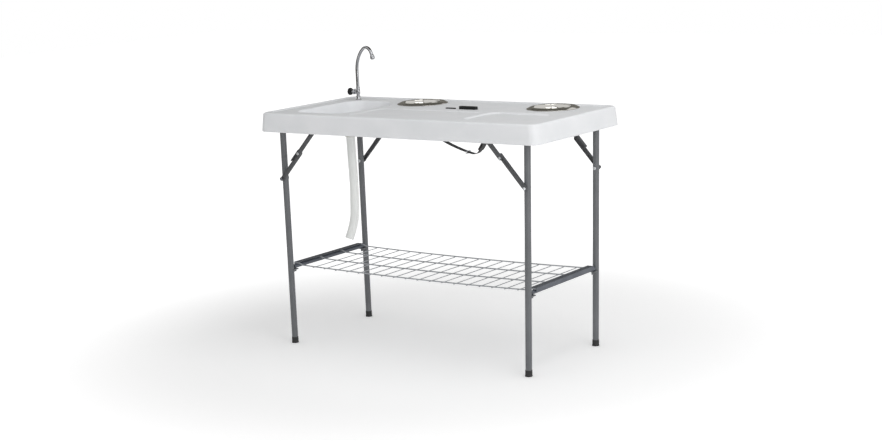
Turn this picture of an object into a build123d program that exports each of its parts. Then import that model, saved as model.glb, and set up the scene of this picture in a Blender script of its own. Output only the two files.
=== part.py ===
from build123d import *
import math
import os

# Folding fish cleaning table: moulded top with a sink, gooseneck tap and drain hose, two lift-out
# bowls, two folding leg frames with knee braces, a lift-off wire shelf and a webbing strap.
# Millimetres. X runs along the table, the user stands on the -Y side, Z is up, and the origin is on
# the floor under the middle of the top.

# Top
TOP_LENGTH = 1270.0
TOP_WIDTH = 600.0
TOP_HEIGHT = 920.0
SKIRT_DEPTH = 73.0
SKIRT_DRAFT_DEG = 6.25
SKIRT_WALL = 14.0
POCKET_DRAFT_DEG = 4.0
CORNER_R = 40.0
EDGE_R = 9.0
RIM_WIDTH = 24.0
RIM_HEIGHT = 4.0
PANEL_THICKNESS = 16.0
SKIRT_BOTTOM_Z = TOP_HEIGHT - SKIRT_DEPTH
DECK_Z = TOP_HEIGHT - RIM_HEIGHT
UNDER_Z = DECK_Z - PANEL_THICKNESS

# Sink, in the left of the top
SINK_LEFT, SINK_RIGHT = -540.0, -290.0
SINK_FRONT, SINK_BACK = -205.0, 187.0
SINK_DEPTH = 46.0
SINK_DRAFT_DEG = 14.0
SINK_WALL = 5.0
SINK_CORNER_R = 62.0
SINK_FAR_CORNER_R = 120.0
SINK_FLOOR_Z = DECK_Z - SINK_DEPTH
DRAIN_X, DRAIN_Y = -412.0, -8.0
DRAIN_HOLE_R = 22.0

# Shallow working areas pressed into the deck
CUT_AREA_DEPTH = 2.0
TRAY_DEPTH = 5.0
TRAY_LEFT, TRAY_RIGHT = 255.0, 520.0
TRAY_FRONT, TRAY_BACK = -205.0, 10.0

# Lift-out bowls
BOWL_Y = 167.0
BOWL_X = {"left": -181.0, "right": 419.0}
BOWL_FLANGE_R = 100.0
BOWL_CREST_R = 80.0
BOWL_CREST_HEIGHT = 9.0
BOWL_HOLE_R = 76.0
BOWL_BODY_R = 56.0
BOWL_FOOT_R = 34.0
BOWL_BOTTOM_Z = 876.0
BOWL_GAUGE = 1.0

# Slot inserts between the bowls
KNIFE_SLOT_X, KNIFE_SLOT_Y = 113.0, 55.0
KNIFE_SLOT_LENGTH, KNIFE_SLOT_WIDTH = 82.0, 20.0
KNIFE_SLOT_PROUD = 11.0
TOOL_SLOT_X, TOOL_SLOT_Y = 33.0, 54.0
TOOL_SLOT_LENGTH, TOOL_SLOT_WIDTH = 46.0, 12.0
TOOL_SLOT_PROUD = 3.5
INSERT_LIP = 4.0
KNIFE_SLOT_CLEAR = 6.0
TOOL_SLOT_CLEAR = 5.0

# Leg frames
LEG_R = 12.0
LEG_WALL = 1.2
LEG_Y = 239.0
PIVOT_X = 561.0
PIVOT_Z = {"left": 857.0, "right": 885.0}
RIGHT_FOOT_INSET = 28.0
LEG_ABOVE_PIVOT = 5.0
LEG_END_Z = 7.0
CROSS_R = 10.0
CROSS_WALL = 1.5
CAP_HEIGHT = 24.0
CAP_TOP_R = 13.0
CAP_BOTTOM_R = 13.5
RUNNING_CLEARANCE = 0.05

# Hangers that carry the cross tubes
HANGER_Y = 150.0
HANGER_GAUGE = 4.0
HANGER_HALF_WIDTH = 15.0
HANGER_FLANGE = 22.0
FLANGE_GAUGE = 3.0
SCREW_HEAD_R = 5.0
SCREW_HEAD = 2.2

# Knee braces, outside the legs: a lower link beside the leg and an upper link beside that
BRACE_ON_LEG = 197.0
BRACE_ON_TOP = 180.0
LINK_R = 8.5
LINK_GAUGE = 1.5
LOWER_LINK_Y = (252.0, 262.0)
UPPER_LINK_Y = (263.0, 272.0)
BRACKET_Y = (272.6, 275.6)
BRACKET_HALF_WIDTH = 12.0
BRACE_PIN_R = 4.0
KNEE_RIVET_R = 3.5
KNEE_HEAD_R = 5.5
CHEEK_BEFORE = 16.0
CHEEK_PAST = 50.0
CHEEK_BULGE = 4.0
CAP_NUT_R = 7.0
CAP_NUT_LENGTH = 8.0

# Wire shelf
RAIL_R = 8.0
RAIL_WALL = 1.2
RAIL_Z = 305.0
RAIL_HALF_LENGTH = 224.0
WIRE_R = 2.5
CROSS_WIRE_R = 1.6
WIRE_YS = (-204.0, -68.0, 68.0, 204.0)
CROSS_PITCH = 56.0
CROSS_COUNT = 18
SHELF_SAG = 6.0
SHELF_END_Z = 309.0
WIRE_WELD = 0.4
CHANNEL_GAUGE = 1.5
CHANNEL_OUT = 12.0
CHANNEL_IN = 15.0
CHANNEL_DROP = 15.5
CHANNEL_HALF_LENGTH = 204.0
REST_GAUGE = 4.0
REST_HALF_WIDTH = 13.0
REST_INNER_Y = 209.0
REST_GAP = 0.3

# Tap, at the back left of the deck
TAP_X, TAP_Y = -533.0, 208.0
TAP_HOLE_R = 9.5
TAP_SHANK_R = 9.0
TAP_BODY_R = 7.0
TAP_BODY_TOP_Z = 962.0
TAP_COLLAR_R = 8.4
SPOUT_R = 6.5
SPOUT_BORE_R = 5.0
SPOUT_HEADING_DEG = -18.0
SPOUT_RISE_Z = 1042.0
SPOUT_ARC_R, SPOUT_ARC_DEG = 100.0, 55.0
SPOUT_HOOK_R, SPOUT_HOOK_DEG = 40.0, 97.0
NOZZLE_LENGTH = 22.0
NOZZLE_R = 8.2
VALVE_Z = 949.0
KNOB_R = 15.0
KNOB_THICKNESS = 10.0
KNOB_FLUTES = 10
INLET_NUT_R = 15.5
INLET_THREAD_R = 13.0
INLET_BOTTOM_Z = 846.0
INLET_SEAT_Z = 857.0
INLET_TOP_Z = 868.0

# Drain and its hose
DRAIN_FLANGE_R = 28.0
DRAIN_BORE_R = 19.0
DRAIN_NUT_Z = (854.0, 865.0)
TAILPIECE_R = 17.0
HOSE_NUT_R = 22.0
HOSE_TOP_Z = 799.0
HOSE_R = 17.5
HOSE_BORE_R = 15.5
HOSE_ROUTE = [
    (DRAIN_X, DRAIN_Y, HOSE_TOP_Z),
    (-412.0, -8.0, 620.0),
    (-414.5, -11.3, 520.0),
    (-419.0, -17.2, 455.0),
    (-428.0, -29.0, 392.0),
]

# Webbing strap under the front of the top
STRAP_Y = -205.0
STRAP_WIDTH = 25.0
STRAP_GAUGE = 1.6
STRAP_ROUTE = [
    (95.0, 896.2),
    (134.0, 861.0),
    (181.0, 833.0),
    (231.0, 813.5),
    (284.0, 797.5),
    (326.0, 790.0),
    (399.0, 896.2),
]
RING_WIRE_R = 1.6
RING_X, RING_Z = 284.0, 797.5
BUCKLE_LENGTH, BUCKLE_WIDTH, BUCKLE_GAUGE = 34.0, 31.0, 7.0
BUCKLE_UP_STRAP = 38.0

SIDES = {"left": -1.0, "right": 1.0}
ENDS = {"front": -1.0, "back": 1.0}


def lean_deg(side):
    """Angle of a leg from the vertical; the right frame's feet stand inboard of its pivots."""
    return 0.0 if side == "left" else math.degrees(math.asin(RIGHT_FOOT_INSET / PIVOT_Z["right"]))


def pivot(side):
    """Place of a leg frame's pivot axis in X and Z."""
    return SIDES[side] * PIVOT_X, PIVOT_Z[side]


def leg_point(side, distance):
    """Point on a leg's axis, a distance below its pivot, in X and Z."""
    x, z = pivot(side)
    lean = math.radians(lean_deg(side))
    return x - SIDES[side] * distance * math.sin(lean), z - distance * math.cos(lean)


def leg_floor_distance(side):
    """Distance along the leg from its pivot to the floor."""
    return PIVOT_Z[side] / math.cos(math.radians(lean_deg(side)))


def rod(start, end, radius):
    """Round bar between two points."""
    start, end = Vector(*start), Vector(*end)
    axis = end - start
    return extrude(Plane(origin=start, z_dir=axis) * Circle(radius), amount=axis.length)


def tube(start, end, radius, wall):
    """Round tube between two points."""
    start, end = Vector(*start), Vector(*end)
    axis = end - start
    ring = Circle(radius) - Circle(radius - wall)
    return extrude(Plane(origin=start, z_dir=axis) * ring, amount=axis.length)


def rounded_plate(length, width, radius, x, y, z, height, draft=0.0):
    """Upright block with rounded corners, standing on height z."""
    outline = Plane.XY.offset(z) * Pos(x, y) * RectangleRounded(length, width, radius)
    return extrude(outline, amount=height, taper=draft)


def slot_block(length, width, x, y, z, height):
    """Upright block with half-round ends, along X."""
    outline = Plane.XY.offset(z) * Pos(x, y) * SlotOverall(length, width)
    return extrude(outline, amount=height)


def sink_outline(grow):
    """Outline of the sink, larger all round by grow, with a wide corner at the back right."""
    left, right = SINK_LEFT - grow, SINK_RIGHT + grow
    front, back = SINK_FRONT - grow, SINK_BACK + grow
    centre = Pos((left + right) / 2, (front + back) / 2)
    outline = centre * Rectangle(right - left, back - front)
    far = outline.vertices().sort_by(lambda v: v.X + v.Y)[-1]
    outline = fillet(far, SINK_FAR_CORNER_R + grow)
    square = [v for v in outline.vertices() if abs(v.X + v.Y - left - front) < 1.0
              or abs(v.X - left) + abs(v.Y - back) < 1.0
              or abs(v.X - right) + abs(v.Y - front) < 1.0]
    return fillet(square, SINK_CORNER_R + grow)


def make_top():
    """Moulded top: drafted skirt, raised rim, sink, shallow areas and its holes."""
    body = rounded_plate(TOP_LENGTH, TOP_WIDTH, CORNER_R, 0, 0, SKIRT_BOTTOM_Z, SKIRT_DEPTH, SKIRT_DRAFT_DEG)
    body = fillet(body.edges().group_by(Axis.Z)[-1], EDGE_R)
    crown = 2 * SKIRT_DEPTH * math.tan(math.radians(SKIRT_DRAFT_DEG))
    rim = 2 * RIM_WIDTH + crown
    body -= rounded_plate(TOP_LENGTH - rim, TOP_WIDTH - rim, CORNER_R, 0, 0, DECK_Z, 2 * RIM_HEIGHT, -50)
    body -= rounded_plate(TOP_LENGTH - 2 * SKIRT_WALL, TOP_WIDTH - 2 * SKIRT_WALL, CORNER_R - SKIRT_WALL / 2,
                          0, 0, SKIRT_BOTTOM_Z, UNDER_Z - SKIRT_BOTTOM_Z, POCKET_DRAFT_DEG)

    inset = SINK_DEPTH * math.tan(math.radians(SINK_DRAFT_DEG))
    shell_depth = UNDER_Z - SINK_FLOOR_Z + SINK_WALL
    shell = Plane.XY.offset(SINK_FLOOR_Z - SINK_WALL) * sink_outline(SINK_WALL - inset)
    body += extrude(shell, amount=shell_depth + 1, taper=-SINK_DRAFT_DEG)
    basin = extrude(Plane.XY.offset(SINK_FLOOR_Z) * sink_outline(-inset), amount=SINK_DEPTH, taper=-SINK_DRAFT_DEG)
    basin = fillet(basin.edges().group_by(Axis.Z)[0], 10)
    body -= basin
    body -= rod((DRAIN_X, DRAIN_Y, SINK_FLOOR_Z - 2 * SINK_WALL), (DRAIN_X, DRAIN_Y, DECK_Z), DRAIN_HOLE_R)

    for x in BOWL_X.values():
        body -= rod((x, BOWL_Y, UNDER_Z - 1), (x, BOWL_Y, TOP_HEIGHT), BOWL_HOLE_R)
    body -= slot_block(KNIFE_SLOT_LENGTH - 2 * INSERT_LIP, KNIFE_SLOT_WIDTH - 2 * INSERT_LIP,
                       KNIFE_SLOT_X, KNIFE_SLOT_Y, UNDER_Z - 1, PANEL_THICKNESS + 2)
    body -= slot_block(TOOL_SLOT_LENGTH - INSERT_LIP, TOOL_SLOT_WIDTH - INSERT_LIP,
                       TOOL_SLOT_X, TOOL_SLOT_Y, UNDER_Z - 1, PANEL_THICKNESS + 2)
    body -= rod((TAP_X, TAP_Y, UNDER_Z - 1), (TAP_X, TAP_Y, TOP_HEIGHT), TAP_HOLE_R)

    body -= rounded_plate(TRAY_RIGHT - TRAY_LEFT, TRAY_BACK - TRAY_FRONT, 44.0, (TRAY_LEFT + TRAY_RIGHT) / 2,
                          (TRAY_FRONT + TRAY_BACK) / 2, DECK_Z - TRAY_DEPTH, 2 * TRAY_DEPTH, -40)
    body -= rounded_plate(470.0, 222.0, 30.0, -12.0, -118.0, DECK_Z - CUT_AREA_DEPTH, 2 * CUT_AREA_DEPTH, -40)
    return body


def make_bowl(x):
    """Spun bowl: a domed flange that sits on the deck, a rolled crest and a round body."""
    deck = DECK_Z
    crest = DECK_Z + BOWL_CREST_HEIGHT
    under_deck = (BOWL_BODY_R, UNDER_Z - 3)
    outer = [
        Spline((BOWL_FLANGE_R, deck), (92.0, deck + 6.4), (BOWL_CREST_R + 3, crest)),
        Line((BOWL_CREST_R + 3, crest), (BOWL_CREST_R - 3, crest)),
        Spline((BOWL_CREST_R - 3, crest), (69.0, 908.0), under_deck, (BOWL_FOOT_R, BOWL_BOTTOM_Z + BOWL_GAUGE)),
        Line((BOWL_FOOT_R, BOWL_BOTTOM_Z + BOWL_GAUGE), (0, BOWL_BOTTOM_Z + BOWL_GAUGE)),
    ]
    inner = [
        Line((0, BOWL_BOTTOM_Z), (BOWL_FOOT_R + 0.4, BOWL_BOTTOM_Z)),
        Spline((BOWL_FOOT_R + 0.4, BOWL_BOTTOM_Z), (BOWL_BODY_R + 0.7, UNDER_Z - 3.7), (69.9, 907.4),
               (BOWL_CREST_R - 2.4, crest - BOWL_GAUGE)),
        Line((BOWL_CREST_R - 2.4, crest - BOWL_GAUGE), (BOWL_CREST_R + 2.4, crest - BOWL_GAUGE)),
        Spline((BOWL_CREST_R + 2.4, crest - BOWL_GAUGE), (91.2, deck + 5.4), (BOWL_FLANGE_R - 1.4, deck)),
        Line((BOWL_FLANGE_R - 1.4, deck), (BOWL_FLANGE_R, deck)),
    ]
    wires = outer + [Line((0, BOWL_BOTTOM_Z + BOWL_GAUGE), (0, BOWL_BOTTOM_Z))] + inner
    face = make_face(Curve() + wires)
    return Pos(x, BOWL_Y, 0) * revolve(Plane.XZ * face, Axis.Z)


def make_slot_insert(length, width, x, y, proud):
    """Raised collar of a slot, with a stem that fills the hole in the top."""
    lip = slot_block(length, width, x, y, DECK_Z, proud)
    lip = fillet(lip.edges().group_by(Axis.Z)[-1], 1.5)
    return lip


def make_knife_insert():
    """Black insert of the knife slot."""
    collar = make_slot_insert(KNIFE_SLOT_LENGTH, KNIFE_SLOT_WIDTH, KNIFE_SLOT_X, KNIFE_SLOT_Y, KNIFE_SLOT_PROUD)
    stem = slot_block(KNIFE_SLOT_LENGTH - 2 * INSERT_LIP, KNIFE_SLOT_WIDTH - 2 * INSERT_LIP,
                      KNIFE_SLOT_X, KNIFE_SLOT_Y, UNDER_Z - 4, PANEL_THICKNESS + 4)
    cut = slot_block(KNIFE_SLOT_LENGTH - 18, KNIFE_SLOT_CLEAR, KNIFE_SLOT_X, KNIFE_SLOT_Y, UNDER_Z - 5,
                     PANEL_THICKNESS + KNIFE_SLOT_PROUD + 10)
    return collar + stem - cut


def make_tool_insert():
    """Black insert of the narrow tool slot."""
    collar = make_slot_insert(TOOL_SLOT_LENGTH, TOOL_SLOT_WIDTH, TOOL_SLOT_X, TOOL_SLOT_Y, TOOL_SLOT_PROUD)
    stem = slot_block(TOOL_SLOT_LENGTH - INSERT_LIP, TOOL_SLOT_WIDTH - INSERT_LIP,
                      TOOL_SLOT_X, TOOL_SLOT_Y, UNDER_Z - 2, PANEL_THICKNESS + 2)
    cut = slot_block(TOOL_SLOT_LENGTH - 12, TOOL_SLOT_CLEAR, TOOL_SLOT_X, TOOL_SLOT_Y, UNDER_Z - 3,
                     PANEL_THICKNESS + TOOL_SLOT_PROUD + 8)
    return collar + stem - cut


def make_leg(side, end):
    """Leg tube from its foot to just above the pivot, drilled for the brace bolt."""
    y = ENDS[end] * LEG_Y
    foot = leg_point(side, leg_floor_distance(side) - LEG_END_Z)
    head = leg_point(side, -LEG_ABOVE_PIVOT)
    leg = tube((foot[0], y, foot[1]), (head[0], y, head[1]), LEG_R, LEG_WALL)
    bolt_x, bolt_z = leg_point(side, BRACE_ON_LEG)
    leg -= rod((bolt_x, y - 2 * LEG_R, bolt_z), (bolt_x, y + 2 * LEG_R, bolt_z), BRACE_PIN_R)
    return leg


def leg_block(side, end, grow=0.0):
    """Solid bar in a leg's place, for trimming what is welded to it."""
    y = ENDS[end] * LEG_Y
    foot = leg_point(side, leg_floor_distance(side))
    head = leg_point(side, -3 * LEG_R)
    return rod((foot[0], y, foot[1]), (head[0], y, head[1]), LEG_R + grow)


def make_cross_tube(side):
    """Tube along the pivot axis, notched to fit the two legs."""
    x, z = pivot(side)
    cross = tube((x, -LEG_Y, z), (x, LEG_Y, z), CROSS_R, CROSS_WALL)
    for end in ENDS:
        cross -= leg_block(side, end)
    middle = cross.solids().sort_by(SortBy.VOLUME)[-1]
    return middle


def make_foot_caps(side):
    """Pair of moulded foot caps, cut flat where they stand."""
    caps = []
    for end in ENDS:
        y = ENDS[end] * LEG_Y
        reach = leg_floor_distance(side)
        low = leg_point(side, reach + 1.0)
        high = leg_point(side, reach - CAP_HEIGHT)
        axis = Vector(high[0] - low[0], 0, high[1] - low[1])
        shell = loft([
            Plane(origin=(low[0], y, low[1]), z_dir=axis) * Circle(CAP_BOTTOM_R),
            Plane(origin=(high[0], y, high[1]), z_dir=axis) * Circle(CAP_TOP_R),
        ])
        foot = leg_point(side, reach - LEG_END_Z)
        above = leg_point(side, reach - 2 * CAP_HEIGHT)
        shell -= rod((foot[0], y, foot[1]), (above[0], y, above[1]), LEG_R)
        floor_cut = Pos(low[0], y, -10.0) * Box(60, 60, 20)
        caps.append(shell - floor_cut)
    return Compound(caps)


def make_hangers(side):
    """Two pressed hangers: an ear with the cross tube's bearing hole and a flange on the panel."""
    x, z = pivot(side)
    hangers = []
    for end in ENDS.values():
        near, far = end * HANGER_Y, end * (HANGER_Y + HANGER_GAUGE)
        ear = rod((x, near, z), (x, far, z), HANGER_HALF_WIDTH)
        web = Pos(x, (near + far) / 2, (z + UNDER_Z) / 2) * Box(2 * HANGER_HALF_WIDTH, HANGER_GAUGE, UNDER_Z - z)
        flange_y = end * (HANGER_Y + HANGER_GAUGE / 2 + HANGER_FLANGE / 2)
        flange = Pos(x, flange_y, UNDER_Z - FLANGE_GAUGE / 2) * Box(2 * HANGER_HALF_WIDTH, HANGER_FLANGE, FLANGE_GAUGE)
        hole = rod((x, near, z), (x, far, z), CROSS_R + RUNNING_CLEARANCE)
        hangers.append(ear + web + flange - hole)
    return Compound(hangers)


def panel_screw(x, y, flange_gauge):
    """Pan head of a screw that holds a flange to the panel."""
    head_z = UNDER_Z - flange_gauge
    head = rod((x, y, head_z - SCREW_HEAD), (x, y, head_z), SCREW_HEAD_R)
    head = fillet(head.edges().group_by(Axis.Z)[0], 1.2)
    return head


def make_hanger_screws(side):
    """Screw heads of a side's hangers."""
    x, _ = pivot(side)
    y = HANGER_Y + HANGER_GAUGE + HANGER_FLANGE / 2
    return Compound([panel_screw(x + dx, end * y, FLANGE_GAUGE) for end in ENDS.values() for dx in (-8.5, 8.5)])


def brace_points(side):
    """Leg bolt, knee and top pin of a brace, in X and Z, with the frame open."""
    bolt = Vector(*leg_point(side, BRACE_ON_LEG))
    top = Vector(SIDES[side] * (PIVOT_X - BRACE_ON_TOP), PIVOT_Z[side])
    span = (bolt - top).length
    upper = (span - (BRACE_ON_LEG - BRACE_ON_TOP)) / 2
    knee = top + (bolt - top) * (upper / span)
    return bolt, knee, top


def brace_frame(start, end_point, face_y):
    """Plane across the table at face_y, with its X axis from start towards end_point."""
    along = (end_point - start).normalized()
    return Plane(origin=(start.X, face_y, start.Y), x_dir=(along.X, 0, along.Y), z_dir=(0, -1, 0))


def slot_face(length, radius):
    """Half-round ended outline from the origin to length along X."""
    return Pos(length / 2, 0) * SlotCenterToCenter(length, 2 * radius)


def make_link(start, end_point, lane, end, cheek=0.0):
    """Pressed channel link, its web outside and its flanges towards the leg."""
    low, high = (lane if end > 0 else (-lane[1], -lane[0]))
    length = (end_point - start).length
    frame = brace_frame(start, end_point, high)
    link = extrude(frame * slot_face(length, LINK_R), amount=high - low)
    hollow_depth = high - low - LINK_GAUGE
    inner = slot_face(length, LINK_R - LINK_GAUGE)
    if end > 0:
        hollow_frame = brace_frame(start, end_point, high - LINK_GAUGE)
    else:
        hollow_frame = frame
    link -= extrude(hollow_frame * inner, amount=hollow_depth)
    holes = Circle(BRACE_PIN_R + RUNNING_CLEARANCE) + Pos(length, 0) * Circle(KNEE_RIVET_R)
    if cheek:
        web_frame = brace_frame(start, end_point, high if end > 0 else low + LINK_GAUGE)
        plate = slot_face(CHEEK_BEFORE + CHEEK_PAST, LINK_R)
        plate = Pos(length - CHEEK_BEFORE, cheek * CHEEK_BULGE) * plate
        link += extrude(web_frame * plate, amount=LINK_GAUGE)
    link -= extrude(frame * holes, amount=high - low)
    return link


def make_upper_brace(side, end):
    """Upper link, from the pin under the top to past the knee."""
    _, knee, top = brace_points(side)
    towards_corner = -SIDES[side]
    return make_link(top, knee, UPPER_LINK_Y, ENDS[end], cheek=towards_corner)


def make_lower_brace(side, end):
    """Lower link, from the bolt on the leg to the knee."""
    bolt, knee, _ = brace_points(side)
    return make_link(bolt, knee, LOWER_LINK_Y, ENDS[end])


def y_rod(point, y_from, y_to, radius):
    """Round bar along Y through a point given in X and Z."""
    return rod((point.X, y_from, point.Y), (point.X, y_to, point.Y), radius)


def make_brace_brackets(side):
    """Pressed brackets that carry the top pins of a side's two braces."""
    _, _, top = brace_points(side)
    parts = []
    for end in ENDS.values():
        low, high = BRACKET_Y if end > 0 else (-BRACKET_Y[1], -BRACKET_Y[0])
        frame = Plane(origin=(top.X, high, top.Y), x_dir=(1, 0, 0), z_dir=(0, -1, 0))
        rise = UNDER_Z - top.Y
        outline = Circle(BRACKET_HALF_WIDTH) + Pos(0, rise / 2) * Rectangle(2 * BRACKET_HALF_WIDTH, rise)
        outline -= Circle(BRACE_PIN_R)
        plate = extrude(frame * outline, amount=high - low)
        flange_y = end * (BRACKET_Y[0] - 10.0)
        flange = Pos(top.X, flange_y, UNDER_Z - FLANGE_GAUGE / 2) * Box(2 * BRACKET_HALF_WIDTH, 20.0, FLANGE_GAUGE)
        parts.append(plate + flange)
    return Compound(parts)


def make_brace_pins(side):
    """Top pins of a side's braces, each with a head inside the channel and one outside."""
    _, _, top = brace_points(side)
    web = UPPER_LINK_Y[1] - LINK_GAUGE
    pins = []
    for end in ENDS.values():
        pin = y_rod(top, end * (web - 1.0), end * (BRACKET_Y[1] + 0.2), BRACE_PIN_R)
        pin += y_rod(top, end * (web - 3.0), end * (web - 1.0), BRACE_PIN_R + 2)
        pin += y_rod(top, end * BRACKET_Y[1], end * (BRACKET_Y[1] + 2.6), BRACE_PIN_R + 2.5)
        pins.append(pin)
    return Compound(pins)


def make_knee_rivets(side):
    """Rivets of the knees, held in the upper links' webs."""
    _, knee, _ = brace_points(side)
    web = UPPER_LINK_Y[1] - LINK_GAUGE
    rivets = []
    for end in ENDS.values():
        rivet = y_rod(knee, end * (web - 0.1), end * (UPPER_LINK_Y[1] + 0.1), KNEE_RIVET_R)
        rivet += y_rod(knee, end * (web - 1.6), end * web, KNEE_HEAD_R)
        dome = y_rod(knee, end * UPPER_LINK_Y[1], end * (UPPER_LINK_Y[1] + 2.4), KNEE_HEAD_R)
        rim = dome.edges().sort_by(lambda e: end * e.center().Y)[-1]
        rivets.append(rivet + fillet(rim, 1.8))
    return Compound(rivets)


def make_brace_bolts(side):
    """Bolts through the legs that carry the lower links."""
    bolt, _, _ = brace_points(side)
    bolts = []
    for end in ENDS.values():
        inner, outer = LEG_Y - LEG_R, LOWER_LINK_Y[1]
        shank = y_rod(bolt, end * (inner - 0.5), end * outer, BRACE_PIN_R)
        head = y_rod(bolt, end * (inner - 3.5), end * (inner - 0.3), CAP_NUT_R - 0.5)
        rim = head.edges().sort_by(lambda e: end * e.center().Y)[0]
        bolts.append(shank + fillet(rim, 1.6))
    return Compound(bolts)


def make_cap_nuts(side):
    """Domed cap nuts on the outer ends of the brace bolts."""
    bolt, _, _ = brace_points(side)
    nuts = []
    for end in ENDS.values():
        start = LOWER_LINK_Y[1] + 0.3
        nut = y_rod(bolt, end * start, end * (start + CAP_NUT_LENGTH), CAP_NUT_R)
        rim = nut.edges().sort_by(lambda e: end * e.center().Y)[-1]
        nut = fillet(rim, 4.0)
        nuts.append(nut)
    return Compound(nuts)


def rail_place(side):
    """Centre of a shelf rail in X and Z: on the leg's axis, at the shelf's height."""
    x, z = pivot(side)
    lean = math.radians(lean_deg(side))
    return x - SIDES[side] * (z - RAIL_Z) * math.tan(lean), RAIL_Z


def make_rests(side):
    """Ledges welded inside the legs, square to them, each on a gusset."""
    x, z = pivot(side)
    rail_x, rail_z = rail_place(side)
    reach = math.hypot(rail_x - x, rail_z - z) + RAIL_R + REST_GAP
    rests = []
    for name, end in ENDS.items():
        place = leg_point(side, reach)
        frame = Plane(origin=(place[0], 0, place[1]), x_dir=(0, 1, 0),
                      z_dir=(place[0] - leg_point(side, reach + 1)[0], 0, place[1] - leg_point(side, reach + 1)[1]))
        y_mid = end * (REST_INNER_Y + LEG_Y) / 2
        depth = LEG_Y - REST_INNER_Y
        ledge = Pos(y_mid, 0, -REST_GAUGE / 2) * Box(depth, 2 * REST_HALF_WIDTH, REST_GAUGE)
        gusset = Pos(y_mid, 0, -REST_GAUGE - 4) * Box(depth, REST_GAUGE, 10)
        rest = frame * (ledge + gusset) - leg_block(side, name)
        rests.append(rest.solids().sort_by(SortBy.VOLUME)[-1])
    return Compound(rests)


def make_rail(side):
    """End rail of the shelf."""
    x, z = rail_place(side)
    return tube((x, -RAIL_HALF_LENGTH, z), (x, RAIL_HALF_LENGTH, z), RAIL_R, RAIL_WALL)


def make_channel(side):
    """Folded strip over the wires' ends, with its flange outside the rail."""
    x, z = rail_place(side)
    out = SIDES[side]
    top = z + RAIL_R + 2 * WIRE_R
    outline = Polyline(
        (x + out * CHANNEL_OUT, top + CHANNEL_GAUGE - CHANNEL_DROP),
        (x + out * CHANNEL_OUT, top + CHANNEL_GAUGE),
        (x - out * CHANNEL_IN, top + CHANNEL_GAUGE),
        (x - out * CHANNEL_IN, top),
        (x + out * (CHANNEL_OUT - CHANNEL_GAUGE), top),
        (x + out * (CHANNEL_OUT - CHANNEL_GAUGE), top + CHANNEL_GAUGE - CHANNEL_DROP),
        (x + out * CHANNEL_OUT, top + CHANNEL_GAUGE - CHANNEL_DROP),
    )
    face = Plane(origin=(0, CHANNEL_HALF_LENGTH, 0), x_dir=(1, 0, 0), z_dir=(0, -1, 0)) * make_face(outline)
    return extrude(face, amount=2 * CHANNEL_HALF_LENGTH)


def make_shelf_wires():
    """Welded grid: four long wires that sag a little and climb onto the rails, and cross wires below."""
    left, end_z = rail_place("left")[0], RAIL_Z + RAIL_R + WIRE_R
    right = rail_place("right")[0]
    middle = (left + right) / 2
    half = (right - left) / 2
    dip = SHELF_END_Z - 1.45 * SHELF_SAG
    points = [(left - 9, end_z), (left + 12, end_z), (left + 34, SHELF_END_Z), (middle, dip),
              (right - 34, SHELF_END_Z), (right - 12, end_z), (right + 9, end_z)]
    turn = math.atan2(SHELF_END_Z - dip, half - 34)
    long_bend = 0.45 * (half - 34) / math.tan(turn)
    grid = None
    for y in WIRE_YS:
        path = FilletPolyline([(px, y, pz) for px, pz in points], radius=[18, 18, long_bend, 18, 18])
        wire = sweep(Plane(origin=(points[0][0], y, end_z), z_dir=(1, 0, 0)) * Circle(WIRE_R), path=path)
        grid = wire if grid is None else grid + wire
    for index in range(CROSS_COUNT):
        x = (index - (CROSS_COUNT - 1) / 2) * CROSS_PITCH
        z = long_wire_z(x, middle, dip, turn, long_bend) - WIRE_R - CROSS_WIRE_R + WIRE_WELD
        overhang = WIRE_YS[-1] + CROSS_WIRE_R
        grid += rod((x, -overhang, z), (x, overhang, z), CROSS_WIRE_R)
    return grid


def long_wire_z(x, middle, dip, turn, bend):
    """Height of a long wire's axis: two straight slopes joined by one wide arc at the middle."""
    away = abs(x - middle)
    if away < bend * math.sin(turn):
        return dip + bend / math.cos(turn) - math.sqrt(bend ** 2 - away ** 2)
    return dip + away * math.tan(turn)


def make_tap_base():
    """Base ring of the tap on the deck."""
    ring = rod((TAP_X, TAP_Y, DECK_Z), (TAP_X, TAP_Y, DECK_Z + 3.5), TAP_BODY_R + 4)
    ring = fillet(ring.edges().group_by(Axis.Z)[-1], 2.5)
    return ring - rod((TAP_X, TAP_Y, DECK_Z), (TAP_X, TAP_Y, DECK_Z + 4), TAP_BODY_R)


def make_tap_body():
    """Column with its threaded shank through the deck and the side branch of the valve."""
    body = rod((TAP_X, TAP_Y, DECK_Z), (TAP_X, TAP_Y, TAP_BODY_TOP_Z), TAP_BODY_R)
    body += rod((TAP_X, TAP_Y, 860.0), (TAP_X, TAP_Y, DECK_Z), TAP_SHANK_R - 2.1)
    body += rod((TAP_X, TAP_Y, 870.0), (TAP_X, TAP_Y, DECK_Z - 1), TAP_SHANK_R)
    body += rod((TAP_X, TAP_Y, 857.0), (TAP_X, TAP_Y, 860.5), TAP_SHANK_R + 2.5)
    body += rod((TAP_X, TAP_Y, VALVE_Z), (TAP_X - 16, TAP_Y, VALVE_Z), 6.0)
    hexagon = Plane(origin=(TAP_X - 16, TAP_Y, VALVE_Z), z_dir=(-1, 0, 0)) * RegularPolygon(7.0, 6)
    body += extrude(hexagon, amount=6)
    body -= rod((TAP_X, TAP_Y, 857.0), (TAP_X, TAP_Y, TAP_BODY_TOP_Z), SPOUT_BORE_R - 0.6)
    body -= rod((TAP_X - 23, TAP_Y, VALVE_Z), (TAP_X - 8, TAP_Y, VALVE_Z), 3.0 + RUNNING_CLEARANCE)
    return body


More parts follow.
